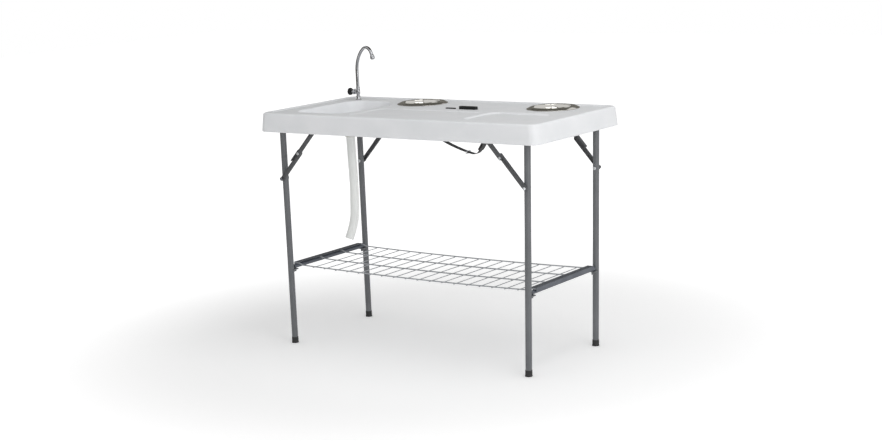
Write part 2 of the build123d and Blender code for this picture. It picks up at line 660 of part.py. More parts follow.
def spout_plane():
    """Upright plane through the tap's axis along the spout's heading; its Y axis is up."""
    heading = math.radians(SPOUT_HEADING_DEG)
    along = Vector(math.cos(heading), math.sin(heading), 0)
    return Plane(origin=(TAP_X, TAP_Y, 0), x_dir=along, z_dir=(along.Y, -along.X, 0))


def spout_path():
    """Riser, wide arc and tight hook of the spout, in the spout's plane."""
    riser = Line((0, TAP_BODY_TOP_Z + 0.3), (0, SPOUT_RISE_Z))
    arc = JernArc(riser @ 1, (0, 1), SPOUT_ARC_R, -SPOUT_ARC_DEG)
    hook = JernArc(arc @ 1, arc % 1, SPOUT_HOOK_R, -SPOUT_HOOK_DEG)
    return riser, arc, hook


def make_spout():
    """Bent tube of the tap with its swivel collar."""
    riser, arc, hook = spout_path()
    plane = spout_plane()
    path = plane * (Curve() + [riser, arc, hook])
    start = Plane(origin=(TAP_X, TAP_Y, TAP_BODY_TOP_Z + 0.3), z_dir=(0, 0, 1))
    spout = sweep(start * Circle(SPOUT_R), path=path)
    collar = rod((TAP_X, TAP_Y, TAP_BODY_TOP_Z + 0.3), (TAP_X, TAP_Y, TAP_BODY_TOP_Z + 6.3), TAP_COLLAR_R)
    collar = fillet(collar.edges().group_by(Axis.Z)[-1], 1.6)
    return spout + collar - sweep(start * Circle(SPOUT_BORE_R), path=path)


def make_nozzle():
    """Flared outlet of the spout."""
    _, _, hook = spout_path()
    tip, heading = hook @ 1, hook % 1
    plane = spout_plane()
    start = plane * Location((tip.X, tip.Y, 0))
    origin = start.position
    along = plane.x_dir * heading.X + plane.y_dir * heading.Y
    sections = []
    for share, radius in ((0.0, SPOUT_R), (0.35, SPOUT_R + 0.2), (0.62, NOZZLE_R), (1.0, NOZZLE_R)):
        place = origin + along * (share * NOZZLE_LENGTH)
        sections.append(Plane(origin=place, z_dir=along) * Circle(radius))
    nozzle = loft(sections, ruled=True)
    bore_end = origin + along * NOZZLE_LENGTH
    return nozzle - rod(tuple(origin), tuple(bore_end), SPOUT_BORE_R)


def make_valve_stem():
    """Stem that turns in the valve branch, with a collar behind the knob."""
    stem = rod((TAP_X - 9, TAP_Y, VALVE_Z), (TAP_X - 38, TAP_Y, VALVE_Z), 3.0)
    return stem + rod((TAP_X - 22.5, TAP_Y, VALVE_Z), (TAP_X - 35, TAP_Y, VALVE_Z), 4.6)


def make_knob():
    """Fluted round knob."""
    start_x = TAP_X - 35.0
    plane = Plane(origin=(start_x, TAP_Y, VALVE_Z), x_dir=(0, 1, 0), z_dir=(-1, 0, 0))
    outline = Circle(KNOB_R)
    for index in range(KNOB_FLUTES):
        angle = 2 * math.pi * index / KNOB_FLUTES
        outline -= Pos((KNOB_R + 2.0) * math.cos(angle), (KNOB_R + 2.0) * math.sin(angle)) * Circle(3.4)
    knob = extrude(plane * outline, amount=KNOB_THICKNESS)
    hub = extrude(plane * Circle(8.0), amount=KNOB_THICKNESS + 1.5)
    return knob + hub - rod((start_x, TAP_Y, VALVE_Z), (start_x - 3, TAP_Y, VALVE_Z), 3.0)


def make_tap_locknut():
    """Hexagon nut that clamps the tap under the deck."""
    nut = extrude(Plane.XY.offset(UNDER_Z - 8) * Pos(TAP_X, TAP_Y) * RegularPolygon(13.0, 6), amount=8)
    return nut - rod((TAP_X, TAP_Y, UNDER_Z - 9), (TAP_X, TAP_Y, UNDER_Z + 1), TAP_SHANK_R)


def make_inlet_nut():
    """Free-turning hose nut on the end of the shank."""
    nut = rod((TAP_X, TAP_Y, INLET_BOTTOM_Z), (TAP_X, TAP_Y, INLET_TOP_Z), INLET_NUT_R)
    nut -= rod((TAP_X, TAP_Y, INLET_BOTTOM_Z), (TAP_X, TAP_Y, INLET_SEAT_Z), INLET_THREAD_R)
    nut -= rod((TAP_X, TAP_Y, INLET_SEAT_Z), (TAP_X, TAP_Y, INLET_TOP_Z - 6), INLET_THREAD_R + 0.8)
    nut -= rod((TAP_X, TAP_Y, INLET_TOP_Z - 7), (TAP_X, TAP_Y, INLET_TOP_Z + 1), TAP_SHANK_R - 2.05)
    for index in range(8):
        angle = 2 * math.pi * (index + 0.5) / 8
        place = (TAP_X + (INLET_NUT_R + 1.2) * math.cos(angle), TAP_Y + (INLET_NUT_R + 1.2) * math.sin(angle))
        nut -= rod((*place, INLET_BOTTOM_Z + 4), (*place, INLET_TOP_Z - 2), 2.2)
    return nut


def make_drain_flange():
    """Drain body: flange in the sink, strainer bars and a stem through the floor."""
    flange = rod((DRAIN_X, DRAIN_Y, SINK_FLOOR_Z), (DRAIN_X, DRAIN_Y, SINK_FLOOR_Z + 2.5), DRAIN_FLANGE_R)
    flange = fillet(flange.edges().group_by(Axis.Z)[-1], 1.5)
    flange += rod((DRAIN_X, DRAIN_Y, 846.0), (DRAIN_X, DRAIN_Y, SINK_FLOOR_Z), DRAIN_HOLE_R - 0.2)
    flange -= rod((DRAIN_X, DRAIN_Y, 846.0), (DRAIN_X, DRAIN_Y, SINK_FLOOR_Z + 3), DRAIN_BORE_R)
    bar_z = SINK_FLOOR_Z + 0.2
    for angle in (0, 60, 120):
        bar = Box(2 * DRAIN_BORE_R + 2, 2.6, 2.4)
        flange += Pos(DRAIN_X, DRAIN_Y, bar_z) * Rot(0, 0, angle) * bar
    return flange


def make_drain_nut():
    """Wide nut under the sink."""
    low, high = DRAIN_NUT_Z
    nut = rod((DRAIN_X, DRAIN_Y, low), (DRAIN_X, DRAIN_Y, high), DRAIN_FLANGE_R)
    nut -= rod((DRAIN_X, DRAIN_Y, low), (DRAIN_X, DRAIN_Y, high), DRAIN_HOLE_R - 0.2)
    for index in range(8):
        nut -= Pos(DRAIN_X, DRAIN_Y, (low + high) / 2) * Rot(0, 0, 45 * index) * Pos(DRAIN_FLANGE_R, 0) * Box(4, 7, 20)
    return nut


def make_tailpiece():
    """Tube below the drain body that the hose is pushed onto."""
    piece = rod((DRAIN_X, DRAIN_Y, 812.0), (DRAIN_X, DRAIN_Y, 846.0), TAILPIECE_R + 3)
    piece += rod((DRAIN_X, DRAIN_Y, HOSE_TOP_Z), (DRAIN_X, DRAIN_Y, 812.0), TAILPIECE_R)
    return piece - rod((DRAIN_X, DRAIN_Y, HOSE_TOP_Z), (DRAIN_X, DRAIN_Y, 846.0), TAILPIECE_R - 2.5)


def make_hose_nut():
    """Coupling nut at the top of the hose."""
    nut = rod((DRAIN_X, DRAIN_Y, HOSE_TOP_Z), (DRAIN_X, DRAIN_Y, 811.8), HOSE_NUT_R)
    nut = chamfer(nut.edges().group_by(Axis.Z)[-1], 2.0)
    return nut - rod((DRAIN_X, DRAIN_Y, HOSE_TOP_Z), (DRAIN_X, DRAIN_Y, 812.0), TAILPIECE_R)


def bend_radii(points):
    """Largest arc at each corner of a route: 0.45 of the shorter run over the tangent of half the turn."""
    radii = []
    for before, here, after in zip(points, points[1:], points[2:]):
        run_in, run_out = Vector(*here) - Vector(*before), Vector(*after) - Vector(*here)
        half_turn = math.radians(run_in.get_angle(run_out)) / 2
        radii.append(0.45 * min(run_in.length, run_out.length) / math.tan(half_turn))
    return radii


def make_hose():
    """Soft drain hose that hangs from the coupling nut."""
    radii = bend_radii(HOSE_ROUTE)
    print("drain hose bend radii", [round(r) for r in radii])
    path = FilletPolyline(HOSE_ROUTE, radius=radii)
    start = Plane(origin=HOSE_ROUTE[0], z_dir=(0, 0, -1))
    hose = sweep(start * Circle(HOSE_R), path=path) - sweep(start * Circle(HOSE_BORE_R), path=path)
    section = math.pi * (HOSE_R ** 2 - HOSE_BORE_R ** 2)
    print("drain hose length", round(path.length, 1), "volume share", round(hose.volume / section / path.length, 4))
    return hose


def make_strap():
    """Flat webbing that hangs between its two anchors."""
    route = [(x, STRAP_Y, z) for x, z in STRAP_ROUTE]
    radii = bend_radii(route)
    print("strap bend radii", [round(r) for r in radii])
    path = FilletPolyline(route, radius=radii)
    start = Plane(origin=path @ 0, x_dir=(0, 1, 0), z_dir=path % 0)
    strap = sweep(start * Rectangle(STRAP_WIDTH, STRAP_GAUGE), path=path)
    section = STRAP_WIDTH * STRAP_GAUGE
    print("strap length", round(path.length, 1), "volume share", round(strap.volume / section / path.length, 4))
    return strap


def make_strap_anchors():
    """Plates that hold the webbing's ends under the panel."""
    plates = []
    for x, _ in (STRAP_ROUTE[0], STRAP_ROUTE[-1]):
        plate = Pos(x, STRAP_Y, UNDER_Z - 1.0) * Box(24, STRAP_WIDTH + 14, 2.0)
        plates.append(fillet(plate.edges().filter_by(Axis.Z), 5))
    return Compound(plates)


def make_strap_screws():
    """Screw heads of the strap anchors, beside the webbing."""
    screws = []
    for x, _ in (STRAP_ROUTE[0], STRAP_ROUTE[-1]):
        for dy in (-1, 1):
            screws.append(rod((x, STRAP_Y + dy * 16.0, UNDER_Z - 3.8), (x, STRAP_Y + dy * 16.0, UNDER_Z - 2), 3.4))
    return Compound(screws)


def strap_run(index):
    """Start of a run of the webbing and its direction."""
    (x, z), (next_x, next_z) = STRAP_ROUTE[index:index + 2]
    return Vector(x, STRAP_Y, z), Vector(next_x - x, 0, next_z - z).normalized()


def make_ring():
    """Flat wire ring round the webbing."""
    _, along = strap_run(4)
    plane = Plane(origin=(RING_X, STRAP_Y, RING_Z), x_dir=(0, 1, 0), z_dir=along)
    span = Rectangle(STRAP_WIDTH + 2 + 2 * RING_WIRE_R, 5.6 + 2 * RING_WIRE_R)
    outline = plane * fillet(span.vertices(), 3.6)
    path = outline.wire()
    start = Plane(origin=path @ 0, z_dir=path % 0)
    return sweep(start * Circle(RING_WIRE_R), path=path)


def make_buckle():
    """Side-release buckle on the steep part of the webbing."""
    low, along = strap_run(5)
    mid = low + along * BUCKLE_UP_STRAP
    normal = Vector(0, 1, 0).cross(along)
    plane = Plane(origin=mid, x_dir=along, z_dir=normal)
    body = plane * Box(BUCKLE_LENGTH, BUCKLE_WIDTH, BUCKLE_GAUGE)
    body = fillet(body.edges().filter_by(lambda e: abs((e % 0).dot(normal)) > 0.99), 6)
    for side in (-1, 1):
        body -= plane * Pos(2, side * (BUCKLE_WIDTH / 2 - 3), 0) * Box(14, 3.2, BUCKLE_GAUGE + 2)
    return body - plane * Box(BUCKLE_LENGTH + 4, STRAP_WIDTH + 0.6, STRAP_GAUGE + 0.6)


def build():
    """All nodes of the table by name."""
    nodes = {
        "tabletop": make_top(),
        "knife_slot_insert": make_knife_insert(),
        "tool_slot_insert": make_tool_insert(),
        "tap_base_ring": make_tap_base(),
        "tap_body": make_tap_body(),
        "tap_spout": make_spout(),
        "tap_nozzle": make_nozzle(),
        "tap_valve_stem": make_valve_stem(),
        "tap_knob": make_knob(),
        "tap_locknut": make_tap_locknut(),
        "inlet_hose_nut": make_inlet_nut(),
        "drain_flange": make_drain_flange(),
        "drain_locknut": make_drain_nut(),
        "drain_tailpiece": make_tailpiece(),
        "hose_coupling_nut": make_hose_nut(),
        "drain_hose": make_hose(),
        "strap_webbing": make_strap(),
        "strap_anchor_plates": make_strap_anchors(),
        "strap_screws": make_strap_screws(),
        "strap_ring": make_ring(),
        "strap_buckle": make_buckle(),
        "shelf_wires": make_shelf_wires(),
    }
    for side in SIDES:
        nodes[f"{side}_bowl"] = make_bowl(BOWL_X[side])
        nodes[f"{side}_cross_tube"] = make_cross_tube(side)
        nodes[f"{side}_foot_caps"] = make_foot_caps(side)
        nodes[f"{side}_hangers"] = make_hangers(side)
        nodes[f"{side}_hanger_screws"] = make_hanger_screws(side)
        nodes[f"{side}_brace_brackets"] = make_brace_brackets(side)
        nodes[f"{side}_brace_pins"] = make_brace_pins(side)
        nodes[f"{side}_knee_rivets"] = make_knee_rivets(side)
        nodes[f"{side}_brace_bolts"] = make_brace_bolts(side)
        nodes[f"{side}_cap_nuts"] = make_cap_nuts(side)
        nodes[f"{side}_shelf_rests"] = make_rests(side)
        nodes[f"{side}_shelf_rail"] = make_rail(side)
        nodes[f"{side}_shelf_channel"] = make_channel(side)
        for end in ENDS:
            nodes[f"{side}_{end}_leg"] = make_leg(side, end)
            nodes[f"{side}_{end}_upper_brace"] = make_upper_brace(side, end)
            nodes[f"{side}_{end}_lower_brace"] = make_lower_brace(side, end)
    return nodes


os.makedirs("parts", exist_ok=True)
for node, shape in build().items():
    export_step(shape, f"parts/{node}.step")
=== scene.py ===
"""Looks of a folding fish cleaning table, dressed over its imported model.

The top is white moulded polyethylene with a sink, a chromed gooseneck tap and two spun steel bowls.
Two powder-coated leg frames with knee braces carry it, a wire shelf lies between them, and a milky
drain hose and a black webbing strap hang under it. Everything is in metres: X runs along the table,
the user stands on the -Y side and Z is up from the floor.
"""

import logging
import math
from dataclasses import dataclass, field
from enum import Enum
from functools import cache
from typing import Any

import bmesh
import bpy
import numpy as np
from mathutils import Matrix, Vector
from mathutils.geometry import delaunay_2d_cdt

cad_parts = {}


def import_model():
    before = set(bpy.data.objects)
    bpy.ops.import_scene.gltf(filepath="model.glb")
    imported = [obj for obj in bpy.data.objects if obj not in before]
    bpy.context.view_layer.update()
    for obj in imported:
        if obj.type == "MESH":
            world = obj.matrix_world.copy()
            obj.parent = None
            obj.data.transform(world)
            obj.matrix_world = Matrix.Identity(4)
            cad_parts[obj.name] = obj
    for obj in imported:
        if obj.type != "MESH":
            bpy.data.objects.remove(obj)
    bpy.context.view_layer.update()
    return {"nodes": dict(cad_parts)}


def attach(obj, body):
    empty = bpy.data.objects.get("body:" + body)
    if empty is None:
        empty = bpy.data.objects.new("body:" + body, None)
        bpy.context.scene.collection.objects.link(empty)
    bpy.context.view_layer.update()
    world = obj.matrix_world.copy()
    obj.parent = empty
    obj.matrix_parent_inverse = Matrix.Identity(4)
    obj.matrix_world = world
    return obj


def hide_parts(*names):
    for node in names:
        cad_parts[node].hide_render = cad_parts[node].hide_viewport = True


LOG = logging.getLogger("cleaning_table")
MM = 0.001
FULL_TURN = 2 * math.pi
SENSOR_MM = 36.0
WHITE = (1.0, 1.0, 1.0, 1.0)

# Axes that several pieces share, as X and Y in millimetres
DRAIN_XY = (-412.0, -8.0)
TAP_XY = (-533.0, 208.0)
LEFT_BOWL_XY = (-181.0, 167.0)
RIGHT_BOWL_XY = (419.0, 167.0)

UP = (0.0, 0.0, 1.0)
LEFTWARDS = (-1.0, 0.0, 0.0)
SIDES = ("left", "right")
# Both ends of a side, with the sign of their Y
ENDS = (("front", -1.0), ("back", 1.0))

Tree = bpy.types.NodeTree
Node = bpy.types.Node
Material = bpy.types.Material
Piece = bpy.types.Object
Socket = bpy.types.NodeSocket
Pair = tuple[float, float]
Point = tuple[float, float, float]
Rgba = tuple[float, float, float, float]


# Colour and node helpers


def linear(hex_colour: str) -> Rgba:
    """Turn an sRGB colour into linear values.

    Args:
        hex_colour: Six hexadecimal digits, with or without a hash sign.

    Returns:
        Linear red, green and blue with an alpha of one.
    """
    digits = hex_colour.lstrip("#")
    srgb = np.array([int(digits[i:i + 2], 16) for i in (0, 2, 4)]) / 255.0
    lin = np.where(srgb <= 0.04045, srgb / 12.92, ((srgb + 0.055) / 1.055) ** 2.4)
    return float(lin[0]), float(lin[1]), float(lin[2]), 1.0


def add_node(tree: Tree, kind: str, settings: dict[str, Any] | None = None, **inputs: Any) -> Node:
    """Add a shader node with its settings, values and links.

    Args:
        tree: The node tree that gets the node.
        kind: Blender's type name of the node, without the ShaderNode prefix.
        settings: Attributes of the node itself.
        inputs: Socket values or output sockets to link, by socket name with underscores for spaces,
            or by _0, _1 and so on for a socket's place.

    Returns:
        The new node.
    """
    new = tree.nodes.new("ShaderNode" + kind)
    for name, value in (settings or {}).items():
        setattr(new, name, value)
    for name, value in inputs.items():
        socket = new.inputs[int(name[1:])] if name[0] == "_" else new.inputs[name.replace("_", " ")]
        if isinstance(value, Socket):
            tree.links.new(value, socket)
        else:
            socket.default_value = value
    return new


def new_material(name: str) -> tuple[Material, Tree]:
    """Make an empty node material.

    Args:
        name: The material's name.

    Returns:
        The material and its tree.
    """
    material = bpy.data.materials.new(name)
    material.use_nodes = True
    material.node_tree.nodes.clear()
    return material, material.node_tree


def blend(tree: Tree, share: Socket, first: str, second: str) -> Socket:
    """Blend two colours by the share that a socket gives, and return the blend's socket."""
    mix = add_node(tree, "Mix", {"data_type": "RGBA"}, Factor=share, _6=linear(first), _7=linear(second))
    return mix.outputs[2]


def math_node(tree: Tree, operation: str, *values: Any) -> Socket:
    """Add a maths node fed by numbers or sockets, and return its result's socket."""
    sockets = {f"_{place}": value for place, value in enumerate(values)}
    return add_node(tree, "Math", {"operation": operation}, **sockets).outputs[0]


# Finishes


@dataclass(frozen=True)
class Finish:
    """A solid finish with mottled colour, varied roughness and a fine relief.

    Attributes:
        name: What the real material is called.
        colour: Main colour, sRGB hex.
        shade: Second colour that the mottling leans towards, sRGB hex.
        roughness: Lowest and highest roughness over the surface.
        metallic: One for bare metal, zero otherwise.
        grain_mm: Width of the relief's bumps.
        relief_mm: Height of the relief.
        mottle_mm: Width of the colour patches.
        stretch: Scale of the relief along X, Y and Z, under one to draw it out.
        ior: Index of refraction, for what isn't a metal.
        specular: Specular level, under a half where the skin reflects less than its index says.
    """

    name: str
    colour: str
    shade: str
    roughness: Pair
    metallic: float = 0.0
    grain_mm: float = 1.0
    relief_mm: float = 0.02
    mottle_mm: float = 60.0
    stretch: Point = (1.0, 1.0, 1.0)
    ior: float = 1.5
    specular: float = 0.5

    def build(self) -> Material:
        """Build the node material.

        Returns:
            The material, ready to assign.
        """
        material, tree = new_material(self.name)
        place = add_node(tree, "TexCoord")
        mapped = add_node(tree, "Mapping", _0=place.outputs["Object"], Scale=self.stretch)
        patches = add_node(tree, "TexNoise", _0=place.outputs["Object"],
                           Scale=1.0 / (self.mottle_mm * MM), Detail=3.0)
        spread = add_node(tree, "MapRange", _0=patches.outputs["Fac"], _1=0.35, _2=0.65)
        gloss = add_node(tree, "MapRange", _0=patches.outputs["Fac"], _1=0.3, _2=0.7,
                         _3=self.roughness[0], _4=self.roughness[1])
        grain = add_node(tree, "TexNoise", Vector=mapped.outputs["Vector"],
                         Scale=1.0 / (self.grain_mm * MM), Detail=2.0)
        relief = add_node(tree, "Bump", Height=grain.outputs["Fac"], Distance=self.relief_mm * MM,
                          Strength=1.0)
        shader = add_node(tree, "BsdfPrincipled", Roughness=gloss.outputs["Result"], Metallic=self.metallic,
                          Base_Color=blend(tree, spread.outputs["Result"], self.colour, self.shade),
                          IOR=self.ior, Specular_IOR_Level=self.specular, Normal=relief.outputs["Normal"])
        add_node(tree, "OutputMaterial", Surface=shader.outputs["BSDF"])
        return material


@dataclass(frozen=True)
class SoftVinyl:
    """Milky plasticised PVC hose wall: light goes a little way in and the surface stays satin.

    Attributes:
        name: What the real material is called.
        colour: Colour of the wall, sRGB hex.
        shade: Colour of its streaks, sRGB hex.
        streak_mm: Width of a streak; it is drawn out along the hose.
        clarity: Share of light that passes straight through.
        roughness: Roughness of the skin.
    """

    name: str = "plasticised_pvc"
    colour: str = "#FAFBF9"
    shade: str = "#ECEEEB"
    streak_mm: float = 6.0
    clarity: float = 0.02
    roughness: float = 0.32

    def build(self) -> Material:
        """Build the node material.

        Returns:
            The material, ready to assign.
        """
        material, tree = new_material(self.name)
        place = add_node(tree, "TexCoord")
        mapped = add_node(tree, "Mapping", _0=place.outputs["Object"], Scale=(1.0, 1.0, 0.08))
        streaks = add_node(tree, "TexNoise", Vector=mapped.outputs["Vector"],
                           Scale=1.0 / (self.streak_mm * MM), Detail=2.0)
        relief = add_node(tree, "Bump", Height=streaks.outputs["Fac"], Distance=0.5 * MM, Strength=0.5)
        shader = add_node(tree, "BsdfPrincipled", Roughness=self.roughness, IOR=1.53,
                          Base_Color=blend(tree, streaks.outputs["Fac"], self.colour, self.shade),
                          Transmission_Weight=self.clarity, Normal=relief.outputs["Normal"])
        add_node(tree, "OutputMaterial", Surface=shader.outputs["BSDF"])
        return material


@dataclass(frozen=True)
class Webbing:
    """Polyester webbing: a flat weave whose ribs cross the strap, with selvedges along its edges.

    Attributes:
        name: What the real material is called.
        colour: Yarn colour, sRGB hex.
        shade: Darker colour painted into the weave's low places between the yarns as painted shade, sRGB hex.
        rib_mm: Distance from one cross rib to the next; the real 1.2 is drawn a little coarser to show.
        cord_mm: Distance from one lengthwise yarn to the next.
    """

    name: str = "polyester_webbing"
    colour: str = "#18191B"
    shade: str = "#070708"
    rib_mm: float = 1.6
    cord_mm: float = 2.4

    def build(self) -> Material:
        """Build the node material; it reads the strap's own UV map, in millimetres.

        Returns:
            The material, ready to assign.
        """
        material, tree = new_material(self.name)
        place = add_node(tree, "TexCoord")
        parts = add_node(tree, "SeparateXYZ", _0=place.outputs["UV"])
        turns = (math_node(tree, "MULTIPLY", parts.outputs[axis], FULL_TURN / pitch)
                 for axis, pitch in (("Y", self.rib_mm), ("X", self.cord_mm)))
        ribs, cords = (math_node(tree, "SINE", turn) for turn in turns)
        level = add_node(tree, "MapRange", _0=math_node(tree, "MULTIPLY", ribs, cords), _1=-1.0, _2=1.0)
        relief = add_node(tree, "Bump", Height=level.outputs["Result"], Distance=0.25 * MM, Strength=0.8)
        shader = add_node(tree, "BsdfPrincipled", Roughness=0.72, Sheen_Weight=0.08,
                          # Painted shade: the weave's low places between the yarns take the darker colour
                          Base_Color=blend(tree, level.outputs["Result"], self.shade, self.colour),
                          Normal=relief.outputs["Normal"])
        add_node(tree, "OutputMaterial", Surface=shader.outputs["BSDF"])
        return material


@dataclass(frozen=True)
class TurnedSteel:
    """Spun stainless steel: mirror polish with fine rings left by the spinning tool.

    Attributes:
        name: What the real material is called.
        centre: X and Y of the axis that the rings run round, in millimetres.
        colour: Colour of the metal, sRGB hex.
        ring_mm: Width of a ring; real ones are near 0.3 and are drawn coarser to show.
    """

    name: str
    centre: Pair
    colour: str = "#C6C4BF"
    ring_mm: float = 1.6

    def build(self) -> Material:
        """Build the node material; the rings are noise along the distance from the axis.

        Returns:
            The material, ready to assign.
        """
        material, tree = new_material(self.name)
        place = add_node(tree, "TexCoord")
        moved = add_node(tree, "VectorMath", {"operation": "SUBTRACT"}, _0=place.outputs["Object"],
                         _1=(self.centre[0] * MM, self.centre[1] * MM, 0.0))
        flat = add_node(tree, "VectorMath", {"operation": "MULTIPLY"}, _0=moved.outputs["Vector"],
                        _1=(1.0, 1.0, 0.0))
        away = add_node(tree, "VectorMath", {"operation": "LENGTH"}, _0=flat.outputs["Vector"])
        rings = add_node(tree, "TexNoise", {"noise_dimensions": "1D"}, W=away.outputs["Value"],
                         Scale=1.0 / (self.ring_mm * MM), Detail=3.0)
        relief = add_node(tree, "Bump", Height=rings.outputs["Fac"], Distance=0.03 * MM, Strength=1.0)
        gloss = add_node(tree, "MapRange", _0=rings.outputs["Fac"], _1=0.3, _2=0.7, _3=0.07, _4=0.15)
        shader = add_node(tree, "BsdfPrincipled", Base_Color=linear(self.colour), Metallic=1.0,
                          Roughness=gloss.outputs["Result"], Normal=relief.outputs["Normal"])
        add_node(tree, "OutputMaterial", Surface=shader.outputs["BSDF"])
        return material


@cache
def built_once(recipe: Finish | SoftVinyl | Webbing | TurnedSteel) -> Material:
    """Build a finish's material once; the cache hands out the same one after that."""
    return recipe.build()


class Finishes(Enum):
    """Every finish on the table, each from what the real one is and how it was made."""

    # Blow-moulded high-density polyethylene: waxy, satin, with a fine pebbled mould texture
    POLYETHYLENE = Finish("blow_moulded_hdpe", "#EDEEF0", "#E6E8EA", (0.42, 0.55), grain_mm=1.1,
                          relief_mm=0.03, mottle_mm=140, ior=1.53, specular=0.3)
    # Spun and polished stainless steel: near mirror, with faint turned rings round each bowl's own axis
    LEFT_BOWL_STEEL = TurnedSteel("spun_stainless_steel_left", LEFT_BOWL_XY)
    RIGHT_BOWL_STEEL = TurnedSteel("spun_stainless_steel_right", RIGHT_BOWL_XY)
    # Acetal and ABS mouldings in black: dull, with a light spark-eroded texture
    BLACK_ABS = Finish("moulded_black_abs", "#0C0C0D", "#121213", (0.38, 0.5), grain_mm=0.5, relief_mm=0.02,
                       mottle_mm=18, ior=1.54, specular=0.3)
    # Polyester powder coat in mid grey: soft gloss with orange peel about 2 mm across
    GREY_POWDER = Finish("polyester_powder_mid_grey", "#6D6F72", "#66686B", (0.38, 0.48), grain_mm=2.0,
                         relief_mm=0.02, mottle_mm=90, specular=0.4)
    # The same coat in a darker grey on the pressed braces and brackets
    DARK_POWDER = Finish("polyester_powder_dark_grey", "#5A5B5D", "#525355", (0.38, 0.48), grain_mm=1.8,
                         relief_mm=0.02, mottle_mm=50, specular=0.35)
    # Bright zinc plate on screws and rivets: silvery, slightly cloudy
    ZINC = Finish("bright_zinc_plate", "#E0E2E4", "#CFD2D5", (0.36, 0.48), metallic=1.0, grain_mm=0.4,
                  relief_mm=0.006, mottle_mm=5)
    # Black zinc-nickel plate on the domed nuts: nearly black, with a hard bright glint
    BLACK_CAP = Finish("black_zinc_nickel_plate", "#6A6B6F", "#5C5D61", (0.14, 0.2), metallic=1.0,
                       grain_mm=0.6, relief_mm=0.003, mottle_mm=8)
    # Moulded rubber foot caps: matt, scuffed a little paler
    RUBBER = Finish("moulded_rubber", "#242425", "#303031", (0.6, 0.78), grain_mm=0.7, relief_mm=0.03,
                    mottle_mm=12, ior=1.52)
    # Grey dip coating on the shelf's wires: smooth and slightly glossy
    WIRE_COAT = Finish("coated_steel_wire", "#A9ACB0", "#9DA0A4", (0.3, 0.4), grain_mm=1.2, relief_mm=0.01,
                       mottle_mm=40)
    # Blue-grey powder coat on the shelf's rails and folded ends
    RAIL_COAT = Finish("polyester_powder_slate", "#575C64", "#50545D", (0.36, 0.46), grain_mm=1.8,
                       relief_mm=0.02, mottle_mm=60, specular=0.4)
    # Decorative chrome over brass: mirror bright
    CHROME = Finish("bright_chrome_plate", "#B6B7BA", "#ADAEB1", (0.04, 0.08), metallic=1.0, grain_mm=1.5,
                    relief_mm=0.002, mottle_mm=20)
    # Natural nylon of the drain fittings: ivory white with a satin skin
    NYLON = Finish("natural_nylon", "#E4E3DC", "#DAD9D1", (0.34, 0.46), grain_mm=0.9, relief_mm=0.02,
                   mottle_mm=25, ior=1.53)
    VINYL = SoftVinyl()
    WEBBING = Webbing()

    @property
    def material(self) -> Material:
        """The finish's material, built the first time that it is asked for."""
        return built_once(self.value)


# Mesh helpers


def full_turn(steps: int) -> np.ndarray:
    """Even angles once round, in radians."""
    return np.linspace(0, FULL_TURN, steps, endpoint=False)


def hexagon(steps: int) -> np.ndarray:
    """Factors that turn a ring into a hexagon: cos 30 degrees / cos of the angle from the nearest flat."""
    sixth = math.pi / 3
    return 0.866 / np.cos((full_turn(steps) + sixth / 2) % sixth - sixth / 2)


def linked(name: str, data: bpy.types.ID) -> Piece:
    """Put data into the scene as an object."""
    holder = bpy.data.objects.new(name, data)
    bpy.context.scene.collection.objects.link(holder)
    return holder


@dataclass
class Skin:
    """Points with the quads and triangles between them.

    Attributes:
        points: Vertex places, one row each, in metres.
        quads: Vertex numbers, one row of four each.
        tris: Vertex numbers, one row of three each.
    """

    points: np.ndarray
    quads: np.ndarray = field(default_factory=lambda: np.empty((0, 4), int))
    tris: np.ndarray = field(default_factory=lambda: np.empty((0, 3), int))

    @staticmethod
    def join(skins: list["Skin"]) -> "Skin":
        """Put several skins into one.

        Args:
            skins: The skins, in any order.

        Returns:
            One skin that holds them all.
        """
        starts = np.cumsum([0] + [len(skin.points) for skin in skins[:-1]])
        return Skin(np.vstack([skin.points for skin in skins]),
                    np.vstack([skin.quads + start for skin, start in zip(skins, starts)]),
                    np.vstack([skin.tris + start for skin, start in zip(skins, starts)]))


def mesh_piece(name: str, skin: Skin, finish: Finishes, body: str, sharp_deg: float) -> Piece:
    """Put a skin into a smooth-shaded piece that rides on a body, with every face turned outwards.

    Args:
        name: Piece name.
        skin: Its points and faces.
        finish: What it is made of.
        body: The body that it moves with.
        sharp_deg: Edges that turn more than this stay sharp.

    Returns:
        The piece.
    """
    mesh = bpy.data.meshes.new(name)
    mesh.from_pydata(skin.points.tolist(), [], skin.quads.tolist() + skin.tris.tolist())
    mesh.validate()
    shape = bmesh.new()
    shape.from_mesh(mesh)
    bmesh.ops.recalc_face_normals(shape, faces=shape.faces)
    open_edges = sum(edge.is_boundary for edge in shape.edges)
    shape.to_mesh(mesh)
    shape.free()
    mesh.shade_smooth()
    mesh.set_sharp_from_angle(angle=math.radians(sharp_deg))
    mesh.materials.append(finish.material)
    piece = linked(name, mesh)
    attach(piece, body)
    LOG.info("%s: %d faces, %d open edges", name, len(mesh.polygons), open_edges)
    return piece


def grid_faces(rows: int, columns: int, wrap_rows: bool, wrap_columns: bool) -> np.ndarray:
    """Quads of a grid of points numbered row by row.

    Args:
        rows: Number of rows of points.
        columns: Number of points in a row.
        wrap_rows: Whether the last row joins the first.
        wrap_columns: Whether each row closes on itself.

    Returns:
        Vertex numbers, one row of four each.
    """
    i = np.arange(rows if wrap_rows else rows - 1)
    j = np.arange(columns if wrap_columns else columns - 1)
    a, b = (g.ravel() for g in np.meshgrid(i, j, indexing="ij"))
    c, d = (a + 1) % rows, (b + 1) % columns
    return np.stack([a * columns + b, c * columns + b, c * columns + d, a * columns + d], axis=1)


